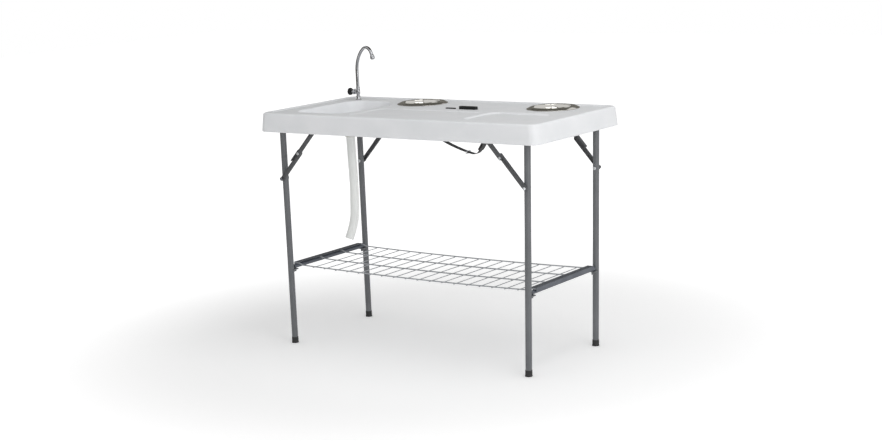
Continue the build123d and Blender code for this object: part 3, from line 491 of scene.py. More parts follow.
def frames_along(path: np.ndarray, across: np.ndarray) -> tuple[np.ndarray, np.ndarray, np.ndarray]:
    """Tangent, side and normal at each point of a path; the side is the given direction squared up.

    Args:
        path: Points of the path, one row each.
        across: A direction that the path never runs along.

    Returns:
        Unit tangents, sides and normals, one row each.
    """
    tangent = np.gradient(path, axis=0)
    tangent /= np.linalg.norm(tangent, axis=1, keepdims=True)
    side = across - (tangent @ across)[:, None] * tangent
    side /= np.linalg.norm(side, axis=1, keepdims=True)
    return tangent, side, np.cross(tangent, side)


def spokes(side: np.ndarray, normal: np.ndarray, steps: int) -> np.ndarray:
    """Unit spokes once round each point of a path: cos t side + sin t normal."""
    turn = full_turn(steps)
    return np.cos(turn)[None, :, None] * side[:, None, :] + np.sin(turn)[None, :, None] * normal[:, None, :]


def poled(rings: np.ndarray, first: np.ndarray, last: np.ndarray) -> Skin:
    """Join rings into a skin that a pole closes at each end.

    Args:
        rings: Points by ring and step.
        first: The pole before the first ring.
        last: The pole after the last ring.

    Returns:
        The closed skin.
    """
    rows, steps = rings.shape[:2]
    count = rows * steps
    here = np.arange(steps)
    after = (here + 1) % steps
    low = np.stack([np.full(steps, count), here, after], axis=1)
    high = np.stack([np.full(steps, count + 1), count - steps + after, count - steps + here], axis=1)
    return Skin(np.vstack([rings.reshape(-1, 3), first, last]), grid_faces(rows, steps, False, True),
                np.vstack([low, high]))


def pipe(path: np.ndarray, radius: np.ndarray, inner: np.ndarray, across: Point,
         steps: int) -> Skin:
    """Tube with a wall: each ring is centre + radius times its spokes, down outside and back up inside.

    Args:
        path: Points of the centre line.
        radius: Outer radius for each point, or for each point and step.
        inner: Inner radius, in the same form.
        across: A direction that the path never runs along.
        steps: Points round.

    Returns:
        The closed wall.
    """
    _, side, normal = frames_along(path, np.array(across))
    spoke = spokes(side, normal, steps)
    outer, bore = (np.broadcast_to(r if r.ndim == 2 else r[:, None], (len(path), steps))[:, :, None]
                   for r in (radius, inner))
    wall = np.concatenate([path[:, None, :] + outer * spoke, (path[:, None, :] + bore * spoke)[::-1]])
    return Skin(wall.reshape(-1, 3), grid_faces(2 * len(path), steps, True, True))


def turned(profile_mm: list[Pair] | np.ndarray, origin: Point,
           axis: Point, steps: int, lobes: np.ndarray | None = None) -> Skin:
    """Surface of revolution: a profile point (r, h) goes round to origin + h axis + r (cos t u + sin t v).

    Args:
        profile_mm: Radius and height pairs in millimetres. Where both ends lie on the axis they become
            poles, and otherwise the profile closes on itself.
        origin: Where height zero is, in metres.
        axis: Direction of the heights.
        steps: Points round.
        lobes: Factors on the radius, for each profile point and step.

    Returns:
        The closed surface.
    """
    profile = np.array(profile_mm, float) * MM
    a = np.array(axis, float) / np.linalg.norm(axis)
    u = np.cross(a, [0.0, 1.0, 0.0] if abs(a[1]) < 0.9 else [1.0, 0.0, 0.0])
    u /= np.linalg.norm(u)
    factor = np.ones((len(profile), steps)) if lobes is None else lobes
    rings = (np.array(origin) + profile[:, 1, None, None] * a
             + (profile[:, 0, None] * factor)[:, :, None] * spokes(u[None], np.cross(a, u)[None], steps))
    if profile[0, 0] > 0 or profile[-1, 0] > 0:
        return Skin(rings.reshape(-1, 3), grid_faces(len(profile), steps, True, True))
    return poled(rings[1:-1], rings[0, 0], rings[-1, 0])


def bezier(corners: list[Pair], count: int) -> np.ndarray:
    """Cubic curve: (1-s)^3 a + 3 (1-s)^2 s b + 3 (1-s) s^2 c + s^3 d.

    Args:
        corners: The four control points a, b, c and d.
        count: Number of points, ends included.

    Returns:
        Points of the curve, one row each.
    """
    s = np.linspace(0, 1, count)[:, None]
    a, b, c, d = (np.array(corner, float) for corner in corners)
    return (1 - s) ** 3 * a + 3 * (1 - s) ** 2 * s * b + 3 * (1 - s) * s ** 2 * c + s ** 3 * d


def arc(centre: Pair, radius: float, start_deg: float, end_deg: float,
        count: int) -> np.ndarray:
    """Round arc: centre + radius (cos t, sin t)."""
    t = np.radians(np.linspace(start_deg, end_deg, count))
    return np.array(centre) + radius * np.stack([np.cos(t), np.sin(t)], axis=1)


def nurbs_line(name: str, route: list[Point], resolution: int) -> np.ndarray:
    """Points of the smooth line that a route's control points give.

    Args:
        name: Name of the scratch curve.
        route: Control points in metres.
        resolution: Points worked out for each control point.

    Returns:
        Points of the line, one row each.
    """
    data = bpy.data.curves.new(name, "CURVE")
    data.dimensions = "3D"
    data.resolution_u = resolution
    spline = data.splines.new("NURBS")
    spline.points.add(len(route) - 1)
    spline.points.foreach_set("co", np.hstack([np.array(route), np.ones((len(route), 1))]).ravel())
    spline.order_u = 3
    spline.use_endpoint_u = True
    holder = linked(name, data)
    mesh = bpy.data.meshes.new_from_object(holder)
    points = np.empty(len(mesh.vertices) * 3)
    mesh.vertices.foreach_get("co", points)
    bpy.data.objects.remove(holder)
    bpy.data.meshes.remove(mesh)
    return points.reshape(-1, 3)


# Cords


@dataclass
class DrainHose:
    """Soft hose that hangs from the drain's coupling nut and ends open above the shelf.

    Attributes:
        radius: Outer radius.
        wall: Wall thickness.
        route: Control points of its line, from the nut down.
    """

    radius: float = 17.5 * MM
    wall: float = 2.0 * MM
    route: list[Point] = field(default_factory=lambda: [
        (-0.412, -0.008, 0.799),
        (-0.411, -0.0073, 0.720),
        (-0.4085, -0.0053, 0.620),
        (-0.4095, -0.007, 0.520),
        (-0.4125, -0.011, 0.450),
        (-0.428, -0.029, 0.392),
    ])

    def surface(self, line: np.ndarray) -> Skin:
        """Tube wall round a line: radius R(1 + shallow lobes and creases that fade in down the hose).

        Args:
            line: Points of the hose's centre line.

        Returns:
            The wall, outside, round the lip and back up inside.
        """
        steps = 48
        turn = full_turn(steps)[None, :]
        share = np.linspace(0, 1, len(line))[:, None]
        lobes = 0.010 * np.sin(2 * turn + 4.0 * share) * np.minimum(1, 4 * share)
        creases = 0.006 * np.cos(9 * turn + 0.5 * np.sin(5.0 * share)) * np.sin(math.pi * share) ** 0.5
        kink = 0.022 * np.exp(-((share - 0.42) / 0.05) ** 2) * np.cos(turn - 2.2)
        outer = self.radius * (0.985 + lobes + creases - np.abs(kink))
        return pipe(line, outer, outer - self.wall, (1.0, 0.0, 0.0), steps)

    def make(self) -> None:
        line = nurbs_line("hose_line", self.route, 24)
        hose = mesh_piece("drain_hose_wall", self.surface(line), Finishes.VINYL, "top", 60.0)
        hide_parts("drain_hose")


@dataclass
class WebbingStrap:
    """Flat webbing that hangs between two anchors under the front of the top.

    Attributes:
        width: Width of the webbing, along Y.
        gauge: Its thickness.
        place_y: Where it hangs.
        route: Control points of its line, X and Z, from the left anchor to the right one.
    """

    width: float = 25 * MM
    gauge: float = 1.6 * MM
    place_y: float = -0.205
    route: list[Pair] = field(default_factory=lambda: [
        (0.095, 0.8962),
        (0.134, 0.861),
        (0.181, 0.833),
        (0.231, 0.8135),
        (0.284, 0.7975),
        (0.328, 0.7895),
        (0.352, 0.827),
        (0.399, 0.8962),
    ])

    def make(self) -> None:
        """Build the webbing, a flat rounded section carried along its line, with a UV map in millimetres.

        The section is (width/2 |cos t|^0.25, gauge/2 |sin t|^0.6), each with the sign of its cosine or sine.
        """
        line = nurbs_line("strap_line", [(x, self.place_y, z) for x, z in self.route], 20)
        steps = np.linalg.norm(np.diff(line, axis=0), axis=1)
        travelled = np.concatenate([[0.0], np.cumsum(steps)])
        turn = full_turn(28)
        flat = np.abs(np.cos(turn)) ** 0.25 * np.sign(np.cos(turn)) * self.width / 2
        thick = np.abs(np.sin(turn)) ** 0.6 * np.sign(np.sin(turn)) * self.gauge / 2
        _, side, normal = frames_along(line, np.array([0.0, 1.0, 0.0]))
        points = (line[:, None, :] + flat[None, :, None] * side[:, None, :]
                  + thick[None, :, None] * normal[:, None, :]).reshape(-1, 3)
        corners = np.arange(1, len(turn) - 1)
        end = np.stack([np.zeros_like(corners), corners, corners + 1], axis=1)
        ends = np.vstack([end, end + len(points) - len(turn)])
        skin = Skin(points, grid_faces(len(line), len(turn), False, True), ends)
        strap = mesh_piece("strap_woven", skin, Finishes.WEBBING, "top", 60.0)
        place = strap.data.uv_layers.new(name="weave_mm")
        numbers = np.empty(len(strap.data.loops), int)
        strap.data.loops.foreach_get("vertex_index", numbers)
        cells = np.stack([np.tile(flat, len(line)) / MM, np.repeat(travelled, len(turn)) / MM], axis=1)
        place.data.foreach_set("uv", cells[numbers].ravel())
        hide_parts("strap_webbing")
        LOG.info("strap %.0f mm long", travelled[-1] / MM)


# Moulded top


@dataclass
class Outline:
    """Rectangle with rounded corners, from which rings at other sizes are taken.

    Attributes:
        centre: X and Y of its middle, in millimetres.
        half: Half its length and half its width.
        radii: Corner radii: back right, back left, front left, front right.
        corner_points: Points along each corner.
        side_points: Points along each side, ends left out.
    """

    centre: Pair
    half: Pair
    radii: tuple[float, float, float, float]
    corner_points: int = 14
    side_points: int = 10

    def rings(self, rows: np.ndarray) -> np.ndarray:
        """Ring for each row: each corner is centre + radius (cos t, sin t), and even steps join the corners.

        Args:
            rows: Inset and height of each ring in millimetres, and in a third column its corner radius; with
                two columns the corner radii shrink by the inset.

        Returns:
            Points in metres, by row and place round the ring.
        """
        inset, height = rows[:, 0], rows[:, 1]
        signs = np.array([(1, 1), (-1, 1), (-1, -1), (1, -1)])
        radii = np.array(self.radii)[None, :] - inset[:, None]
        if rows.shape[1] == 3:
            radii = np.repeat(rows[:, 2:3], 4, axis=1)
        half = np.array(self.half)[None, :] - inset[:, None]
        middle = np.array(self.centre) + signs[None] * (half[:, None, :] - radii[:, :, None])
        turn = np.radians(np.linspace(0, 90, self.corner_points)[None, :] + 90 * np.arange(4)[:, None])
        corner = (middle[:, :, None, :] + radii[:, :, None, None]
                  * np.stack([np.cos(turn), np.sin(turn)], axis=2)[None])
        share = (np.arange(self.side_points) + 1)[None, None, :, None] / (self.side_points + 1)
        following = np.roll(corner, -1, axis=1)[:, :, :1, :]
        side = corner[:, :, -1:, :] * (1 - share) + following * share
        flat = np.concatenate([corner, side], axis=2).reshape(len(rows), -1, 2)
        tall = np.repeat(height[:, None, None], flat.shape[1], axis=1)
        return np.concatenate([flat, tall], axis=2) * MM


def wave(start: Pair, end: Pair, count: int) -> np.ndarray:
    """Soft step from one inset and height to another: height runs as 3 s^2 - 2 s^3 of the way across.

    Args:
        start: First inset and height.
        end: Last inset and height.
        count: Number of rows, ends included.

    Returns:
        Rows of inset and height.
    """
    s = np.linspace(0, 1, count)
    soft = s * s * (3 - 2 * s)
    return np.stack([start[0] + (end[0] - start[0]) * s, start[1] + (end[1] - start[1]) * soft], axis=1)


@dataclass
class RingSkin:
    """Skin that grows from rings: profiles carried round outlines, with the flats between them filled.

    Attributes:
        points: Vertex places of each part so far.
        quads: Its quads.
        tris: Its triangles.
        count: Number of vertices so far.
    """

    points: list[np.ndarray] = field(default_factory=list)
    quads: list[np.ndarray] = field(default_factory=list)
    tris: list[np.ndarray] = field(default_factory=list)
    count: int = 0

    def carry(self, outline: Outline, rows: np.ndarray) -> tuple[np.ndarray, np.ndarray]:
        """Add a profile round an outline.

        Args:
            outline: The outline.
            rows: Inset and height of each ring, with a radius where it isn't the outline's own.

        Returns:
            Vertex numbers of the first ring and of the last.
        """
        rings = outline.rings(rows)
        start = self.count
        self.points.append(rings.reshape(-1, 3))
        self.quads.append(grid_faces(rings.shape[0], rings.shape[1], False, True) + start)
        self.count += rings.shape[0] * rings.shape[1]
        first = np.arange(rings.shape[1]) + start
        return first, first + (rings.shape[0] - 1) * rings.shape[1]

    def fill(self, rim: np.ndarray, holes: list[np.ndarray]) -> None:
        """Fill a flat inside a ring with triangles and leave its holes open.

        A triangle stays where a line to the right of its middle crosses the rings an odd number of times.

        Args:
            rim: Vertex numbers of the outer ring.
            holes: Vertex numbers of each hole's ring.
        """
        loops = [rim, *holes]
        numbers = np.concatenate(loops)
        places = np.vstack(self.points)[numbers, :2]
        starts = np.cumsum([0] + [len(loop) for loop in loops])
        edges = [(int(a + k), int(a + (k + 1) % (b - a)))
                 for a, b in zip(starts, starts[1:]) for k in range(b - a)]
        result = delaunay_2d_cdt([Vector(place) for place in places], edges, [], 1, 1e-7)
        came_from = np.array([origin[0] for origin in result[3]])
        tris = came_from[np.array(result[2])]
        middle = places[tris].mean(axis=1)[:, None, :]
        a, b = (places[np.array(edges)[:, k]][None] for k in (0, 1))
        spans = (a[..., 1] > middle[..., 1]) != (b[..., 1] > middle[..., 1])
        rise = np.where(spans, b[..., 1] - a[..., 1], 1.0)
        meets = a[..., 0] + (b[..., 0] - a[..., 0]) * (middle[..., 1] - a[..., 1]) / rise
        crossings = (spans & (middle[..., 0] < meets)).sum(axis=1)
        self.tris.append(numbers[tris[crossings % 2 == 1]])

    def skin(self) -> Skin:
        """Put everything that was added into one skin: points at one place become one, and shrunken faces go.

        A quad that loses one corner this way stays as a triangle.

        Returns:
            The skin.
        """
        points = np.vstack(self.points)
        # Cells of a micrometre, moved off the round numbers that most points lie on
        cells = np.floor(points * 1e6 + 0.137).astype(np.int64)
        _, first, same = np.unique(cells, axis=0, return_index=True, return_inverse=True)
        quads, tris = same.reshape(-1)[np.vstack(self.quads)], same.reshape(-1)[np.vstack(self.tris)]
        doubled = quads == np.roll(quads, -1, axis=1)
        shrunk = doubled.any(axis=1)
        corners = [quad[~double] for quad, double in zip(quads[shrunk], doubled[shrunk])]
        tris = np.vstack([tris, *[corner[None, :] for corner in corners if len(corner) == 3]])
        tris = tris[(tris != np.roll(tris, -1, axis=1)).all(axis=1)]
        return Skin(points[first], quads[~shrunk], tris)


@dataclass
class MouldedTop(RingSkin):
    """Blow-moulded top in one closed skin: rim, skirt, sink, shallow areas, holes and underside dimples.

    Every form is a profile carried round an outline, and the flats between the outlines are filled.

    Attributes:
        deck: Height of the deck, in millimetres as all its sizes are.
        rim: Height of the rim's crest.
        under: Height of the panel's underside.
        skirt_bottom: Height of the skirt's lower edge.
        outer: Outline of the skirt's lower edge.
        sink: Outline of the sink at the deck.
        sink_floor: Height of the sink's floor.
        wall: Thickness of the sink's floor.
        drain: Centre of the drain hole.
        drain_hole: Radius of the drain hole.
        bowls: Centres of the bowl holes.
        bowl_hole: Radius of a bowl hole.
        tap_hole: Radius of the tap's hole.
        tray: Outline of the shallow tray at the deck.
        tray_depth: Its depth.
        board: Outline of the faint cutting area.
        board_depth: Its depth.
        slots: Centre and half sizes of the slots for knives and tools.
        dimple_pitch: Distance between the underside's dimples.
    """

    deck: float = 916.0
    rim: float = 920.0
    under: float = 900.0
    skirt_bottom: float = 847.0
    outer: Outline = field(default_factory=lambda: Outline((0, 0), (635, 300), (40, 40, 40, 40), 18, 30))
    sink: Outline = field(default_factory=lambda: Outline((-415, -9), (125, 196), (120, 62, 62, 62), 20, 12))
    sink_floor: float = 870.0
    wall: float = 5.0
    drain: Pair = DRAIN_XY
    drain_hole: float = 22.0
    bowls: tuple[Pair, ...] = (LEFT_BOWL_XY, RIGHT_BOWL_XY)
    bowl_hole: float = 76.0
    tap_hole: float = 9.5
    tray: Outline = field(default_factory=lambda: Outline((387.5, -97.5), (132.5, 107.5), (44,) * 4))
    tray_depth: float = 6.5
    board: Outline = field(default_factory=lambda: Outline((-12, -118), (235, 111), (30,) * 4))
    board_depth: float = 2.6
    slots: tuple[tuple[Pair, Pair], ...] = (((113, 55), (37, 6)), ((33, 54), (21, 4)))
    dimple_pitch: float = 72.0

    def outer_rows(self) -> np.ndarray:
        """Rows of the rim and skirt, from the deck over the edge and back in under the panel."""
        deck, rim, low, under = self.deck, self.rim, self.skirt_bottom, self.under
        inner = wave((34, deck), (25, rim), 9)
        edge = arc((16.06, rim - 9), 9, 90, 173.75, 9)
        side = np.linspace(edge[-1], (0.45, low + 4), 6)[1:]
        lip = arc((3.2, low + 3.2), 3.2, 180, 270, 6)
        inner_lip = arc((10.8, low + 3.2), 3.2, 270, 360, 6)
        wall = np.linspace((14.3, low + 8), (17.4, under - 6), 5)
        cove = arc((23.4, under - 6), 6, 180, 90, 6)
        rows = np.vstack([[(37, deck)], inner, [(21, rim)], edge, side, lip, inner_lip, wall, cove,
                          [(27, under)]])
        radius = np.interp(rows[:, 0], [0, 8, 25, 37], [40, 33, 44, 37])
        # The inside starts at the lip's lowest point, and the underside's own row ends it
        inside = len(inner_lip) + len(wall) + len(cove) + 2
        beneath = np.arange(len(rows)) >= len(rows) - inside
        radius[beneath] = np.interp(rows[beneath, 0], [0, 14, 18, 27], [40, 33, 29, 20])
        return np.column_stack([rows, radius])

    def sink_rows(self) -> tuple[np.ndarray, np.ndarray]:
        """Rows of the sink's inside, deck to floor, and of its shell, underside to bottom.

        Both walls lean 14 degrees and meet their coves in a tangent.
        """
        deck, floor, under = self.deck, self.sink_floor, self.under
        lip = arc((-3.1, deck - 4), 4, 90, 14, 7)
        cove = arc((19.3, floor + 10), 10, 194, 270, 8)
        steps = np.linspace(lip[-1], cove[0], 7)[1:-1]
        inside = np.vstack([[(-7, deck), (-5, deck)], lip, steps, cove, [(22, floor)]])
        bottom = floor - self.wall
        root = arc((-9.0, under - 6), 6, 90, 14, 6)
        turn = arc((14.4, bottom + 8), 8, 194, 270, 7)
        walls = np.linspace(root[-1], turn[0], 6)[1:-1]
        return inside, np.vstack([[(-12, under)], root, walls, turn, [(18, bottom)]])

    def shallow(self, outline: Outline, insets: tuple[float, float, float, float], depth: float,
                count: int) -> tuple[np.ndarray, np.ndarray]:
        """Add a shallow area: flat, soft step down to its floor, flat.

        Args:
            outline: Its outline at the deck.
            insets: Where the flat, the step, the step's end and the floor begin.
            depth: How far its floor lies under the deck.
            count: Rows of the step.

        Returns:
            Vertex numbers of the ring in the deck and of the ring in the floor.
        """
        edge, start, end, flat = insets
        low = self.deck - depth
        step = wave((start, self.deck), (end, low), count)
        return self.carry(outline, np.vstack([[(edge, self.deck)], step, [(flat, low)]]))

    def round_hole(self, centre: Pair, radius: float, top: float, bottom: float,
                   edge: float = 1.2) -> tuple[np.ndarray, np.ndarray]:
        """Add a round hole's wall with rounded edges.

        Args:
            centre: X and Y of its middle.
            radius: Its radius.
            top: Height of its upper edge.
            bottom: Height of its lower edge.
            edge: Radius of its edges.

        Returns:
            Vertex numbers of the upper ring and of the lower.
        """
        ring = Outline(centre, (radius, radius), (radius,) * 4, 16 if radius > 40 else 8, 0)
        return self.carry(ring, self.hole_rows(top, bottom, edge))

    def hole_rows(self, top: float, bottom: float, edge: float) -> np.ndarray:
        """Rows of a hole's wall: flat, quarter round, wall, quarter round, flat."""
        upper = arc((-edge, top - edge), edge, 90, 0, 4)
        lower = arc((-edge, bottom + edge), edge, 0, -90, 4)
        return np.vstack([[(-edge - 1.5, top)], upper, lower, [(-edge - 1.5, bottom)]])

    def dimples(self, taken: list[tuple[float, float, float, float]]) -> list[np.ndarray]:
        """Add the cone-shaped dimples where the mould pinches the two walls together.

        Args:
            taken: Areas with hardware or forms, as left, right, front and back.

        Returns:
            Vertex numbers of each dimple's ring in the underside.
        """
        column, row = (g.ravel() for g in np.meshgrid(np.arange(-8, 9), np.arange(-3, 4)))
        x = (column + (row % 2) / 2) * self.dimple_pitch
        y = row * self.dimple_pitch * 1.05
        free = (np.abs(x) < 585) & (np.abs(y) < 250)
        clear = 14
        for left, right, front, back in taken:
            free &= ~((x > left - clear) & (x < right + clear) & (y > front - clear) & (y < back + clear))
        rows = np.vstack([[(-2.5, self.under)], wave((-1.2, self.under), (6.5, self.under + 8), 6)])
        rings = []
        for place in zip(x[free].tolist(), y[free].tolist()):
            mouth, cap = self.carry(Outline(place, (10, 10), (10,) * 4, 5, 0), rows)
            self.fill(cap, [])
            rings.append(mouth)
        LOG.info("%d dimples under the top", len(rings))
        return rings

    def make(self) -> None:
        """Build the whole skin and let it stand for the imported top."""
        deck_edge, under_edge = self.carry(self.outer, self.outer_rows())
        inside, shell = self.sink_rows()
        sink_edge, floor_edge = self.carry(self.sink, inside)
        shell_edge, bottom_edge = self.carry(self.sink, shell)
        drain_top, drain_bottom = self.round_hole(self.drain, self.drain_hole, self.sink_floor,
                                                  self.sink_floor - self.wall)
        tray_edge, tray_floor = self.shallow(self.tray, (-10, -8, 4, 6), self.tray_depth, 11)
        board_edge, board_floor = self.shallow(self.board, (-5, -4, 3, 5), self.board_depth, 8)
        walls = [self.round_hole(bowl, self.bowl_hole, self.deck, self.under) for bowl in self.bowls]
        walls.append(self.round_hole(TAP_XY, self.tap_hole, self.deck, self.under, 0.6))
        for centre, half in self.slots:
            walls.append(self.carry(Outline(centre, half, (half[1],) * 4, 6, 4),
                                    self.hole_rows(self.deck, self.under, 0.6)))
        sink_and_bowls = [(-560, -270, -225, 207), (-280, -82, 68, 266), (320, 518, 68, 266)]
        slots_strap_tap = [(60, 165, 35, 75), (0, 66, 38, 70), (82, 108, -226, -184), (386, 412, -226, -184),
                           (-560, -505, 180, 236)]
        hangers = [(left, left + 48, *span) for left in (-585, 537) for span in ((-180, -145), (145, 180))]
        brackets = [(left, left + 28, *span) for left in (-395, 367) for span in ((-270, -240), (240, 270))]
        pits = self.dimples(sink_and_bowls + slots_strap_tap + hangers + brackets)
        self.fill(deck_edge, [sink_edge, tray_edge, board_edge] + [top for top, _ in walls])
        self.fill(floor_edge, [drain_top])
        self.fill(bottom_edge, [drain_bottom])
        self.fill(tray_floor, [])
        self.fill(board_floor, [])
        self.fill(under_edge, [shell_edge] + [bottom for _, bottom in walls] + pits)
        top = mesh_piece("moulded_top", self.skin(), Finishes.POLYETHYLENE, "top", 50.0)
        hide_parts("tabletop")


# Bowls and tap


@dataclass
class SpunBowl:
    """Spun steel bowl: rolled hem, domed flange, crest and a round body.

    Attributes:
        side: Which of the two it is.
        centre: X and Y of its axis, in millimetres.
        gauge: Sheet thickness.
    """

    side: str
    centre: Pair
    gauge: float = 1.0

    def make(self) -> None:
        """Build the bowl: Bezier curves form its upper line, and the lower one lies a gauge below."""
        upper = np.vstack([
            [(0.0, 877.0), (14.0, 877.0), (30.0, 877.1)],
            bezier([(32.0, 877.2), (47.0, 878.0), (52.0, 887.0), (57.0, 897.0)], 12),
            bezier([(57.0, 897.0), (60.5, 904.0), (70.5, 907.0), (73.4, 917.0)], 10)[1:],
            bezier([(73.4, 917.0), (74.8, 922.5), (76.6, 925.0), (80.0, 925.0)], 8)[1:],
            bezier([(80.0, 925.0), (86.5, 925.0), (92.5, 922.0), (97.6, 917.9)], 12)[1:],
            arc((98.7, 917.2), 1.2, 130, -60, 8),
        ])
        # The lower line ends where the hem's eight points begin
        along = np.gradient(upper, axis=0)
        along /= np.linalg.norm(along, axis=1, keepdims=True)
        hem = 8
        lower = upper[:-hem] + self.gauge * np.stack([along[:-hem, 1], -along[:-hem, 0]], axis=1)
        lower[:3, 1] = 877.0 - self.gauge
        lower[0, 0] = 0.0
        profile = np.vstack([upper, lower[::-1]])
        centre = (self.centre[0] * MM, self.centre[1] * MM, 0.0)
        skin = turned(profile, centre, UP, 112)
        bowl = mesh_piece(f"{self.side}_spun_bowl", skin, Finishes[f"{self.side.upper()}_BOWL_STEEL"],
                          f"{self.side}_bowl", 60.0)
        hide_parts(f"{self.side}_bowl")


@dataclass
class GooseneckTap:
    """Chromed tap: beaded column with a side valve, swivelling gooseneck, nozzle and fluted knob.

    Attributes:
        place: X and Y of the column's axis, in millimetres.
        top: Height of the swivel joint.
        rise: Height where the riser starts to bend.
        radius: Outer radius of the gooseneck's tube.
        heading_deg: Way that the spout points, from the X axis.
        bore: Inner radius of that tube.
        valve: Height of the valve's axis.
    """

    place: Pair = TAP_XY
    top: float = 962.3
    rise: float = 1033.0
    radius: float = 6.7
    heading_deg: float = -18.0
    bore: float = 5.0
    valve: float = 949.0

    def at(self, height: float, left: float = 0.0) -> Point:
        """Point on the column's axis or left of it, in metres."""
        return (self.place[0] - left) * MM, self.place[1] * MM, height * MM

    def column(self) -> Skin:
        """Column above the deck and threaded shank below it, with the valve's branch at its side."""
        threads = np.arange(871.0, 914.0, 1.5)
        ridges = np.stack([np.tile([8.3, 9.0], len(threads)),
                           np.repeat(threads, 2) + np.tile([0, 0.75], len(threads))], axis=1)
        profile = np.vstack([
            [(0, 857.0), (11.5, 857.0), (11.5, 860.5), (6.9, 860.5), (6.9, 870.0)], ridges,
            [(9.0, 915.9), (12.4, 916.0), (12.6, 916.6)], arc((11.2, 917.0), 1.2, 0, 80, 5),
            bezier([(9.4, 918.4), (8.0, 919.2), (7.4, 921.5), (7.2, 927.5)], 6),
            arc((6.6, 930.4), 2.4, -80, 80, 9), [(6.9, 934.2), (6.9, 938.4)],
            arc((7.2, 940.4), 1.7, -80, 80, 7), [(8.4, 943.0), (8.6, 944.0), (8.6, 954.0), (8.4, 955.0)],
            arc((7.2, 957.4), 1.7, -80, 80, 7), [(6.9, 960.6), (6.9, 962.0), (0, 962.0)],
        ])
        body = turned(profile, self.at(0.0), UP, 48)
        start = self.at(self.valve, 5.0)
        branch = turned([(0, 0), (6.0, 0), (6.0, 8.6), (6.6, 9.0), (6.6, 10.2), (6.0, 10.6), (0, 10.6)],
                        start, LEFTWARDS, 40)
        lobes = np.ones((8, 48))
        lobes[2:6] = hexagon(48)
        bonnet = turned([(0, 10.6), (9.4, 10.6), (11.6, 11.4), (12.8, 12.4), (12.8, 15.6), (12.0, 16.4),
                         (9.4, 17.0), (0, 17.0)], start, LEFTWARDS, 48, lobes)
        return Skin.join([body, branch, bonnet])

    def spout_line(self) -> np.ndarray:
        """Line of the gooseneck: straight riser, a wide arc of 59 degrees and a hook of 99 degrees."""
        bend, hook_radius, join_deg = 108.0, 40.0, 121
        riser = np.stack([np.zeros(8), np.linspace(self.top, self.rise, 8)], axis=1)
        wide = arc((bend, self.rise), bend, 180, join_deg, 22)
        join = math.radians(join_deg)
        hook_centre = (wide[-1, 0] - hook_radius * math.cos(join), wide[-1, 1] - hook_radius * math.sin(join))
        hook = arc(hook_centre, hook_radius, join_deg, 22, 34)
        flat = np.vstack([riser, wide[1:], hook[1:]])
        way = math.radians(self.heading_deg)
        return np.stack([self.place[0] + flat[:, 0] * math.cos(way),
                         self.place[1] + flat[:, 0] * math.sin(way), flat[:, 1]], axis=1) * MM

    def make(self) -> None:
        """Build the column, gooseneck, nozzle, valve stem and knob."""
        column = mesh_piece("tap_column", self.column(), Finishes.CHROME, "top", 50.0)
        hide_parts("tap_body", "tap_base_ring")
        line = self.spout_line()
        way = math.radians(self.heading_deg)
        across = (-math.sin(way), math.cos(way), 0.0)
        outer, inner = (np.full(len(line), size * MM) for size in (self.radius, self.bore))
        tube = pipe(line, outer, inner, across, 40)
        beads = np.vstack([[(6.4, 0.1), (8.2, 0.1)], arc((7.2, 1.3), 1.3, -20, 60, 5), [(7.6, 3.2)],
                           arc((7.0, 4.6), 1.4, -50, 80, 7), [(6.45, 6.4)]])
        collar = turned(beads, self.at(self.top), UP, 48)
        neck = mesh_piece("gooseneck", Skin.join([tube, collar]), Finishes.CHROME,
                          "tap_spout", 50.0)
        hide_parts("tap_spout")
        end, heading = line[-1], line[-1] - line[-2]
        flare = np.vstack([[(5.0, -3.0), (7.0, -3.0), (7.2, -1.8), (7.0, -0.6), (7.0, 1.0)],
                           bezier([(7.0, 1.0), (7.4, 5.0), (9.4, 7.5), (9.4, 11.6)], 8)[1:],
                           [(8.8, 12.4), (8.8, 13.2), (9.5, 13.8), (9.5, 19.4), (8.8, 20.8), (6.4, 21.0)]])
        outlet = turned(flare, tuple(end), tuple(heading), 48)
        nozzle = mesh_piece("nozzle", outlet, Finishes.CHROME, "tap_spout", 40.0)
        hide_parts("tap_nozzle")
        self.valve_parts()

    def valve_parts(self) -> None:
        """Valve stem, and a knob whose radius is R (1 - 0.09 (0.5 + 0.5 cos 10t)^2) round its grip."""
        back = self.at(self.valve, 22.3)
        stem = turned([(0, 0), (4.4, 0), (4.8, 0.6), (4.8, 3.0), (4.0, 3.6), (4.0, 8.0), (4.6, 8.6),
                       (4.6, 12.6), (0, 12.6)], back, LEFTWARDS, 32)
        spindle = mesh_piece("valve_spindle", stem, Finishes.CHROME, "tap_valve", 40.0)
        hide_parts("tap_valve_stem")
        profile = np.vstack([[(0, 12.7), (11.0, 12.7)], arc((12.6, 14.9), 2.2, -80, 0, 5),
                             [(15.0, 16.5), (15.0, 19.5)], arc((12.8, 20.6), 2.2, 0, 75, 6),
                             [(10.0, 22.4), (8.6, 21.6), (7.9, 22.6), (7.2, 23.9), (4.0, 24.2), (0, 24.2)]])
        flutes = 1 - 0.09 * (0.5 + 0.5 * np.cos(10 * full_turn(80))) ** 2
        grip = np.clip((profile[:, 0] - 11) / 3, 0, 1)[:, None]
        grooved = turned(profile, back, LEFTWARDS, 80, 1 + grip * (flutes[None, :] - 1))
        knob = mesh_piece("fluted_knob", grooved, Finishes.BLACK_ABS, "tap_valve", 50.0)
        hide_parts("tap_knob")


# Legs and shelf


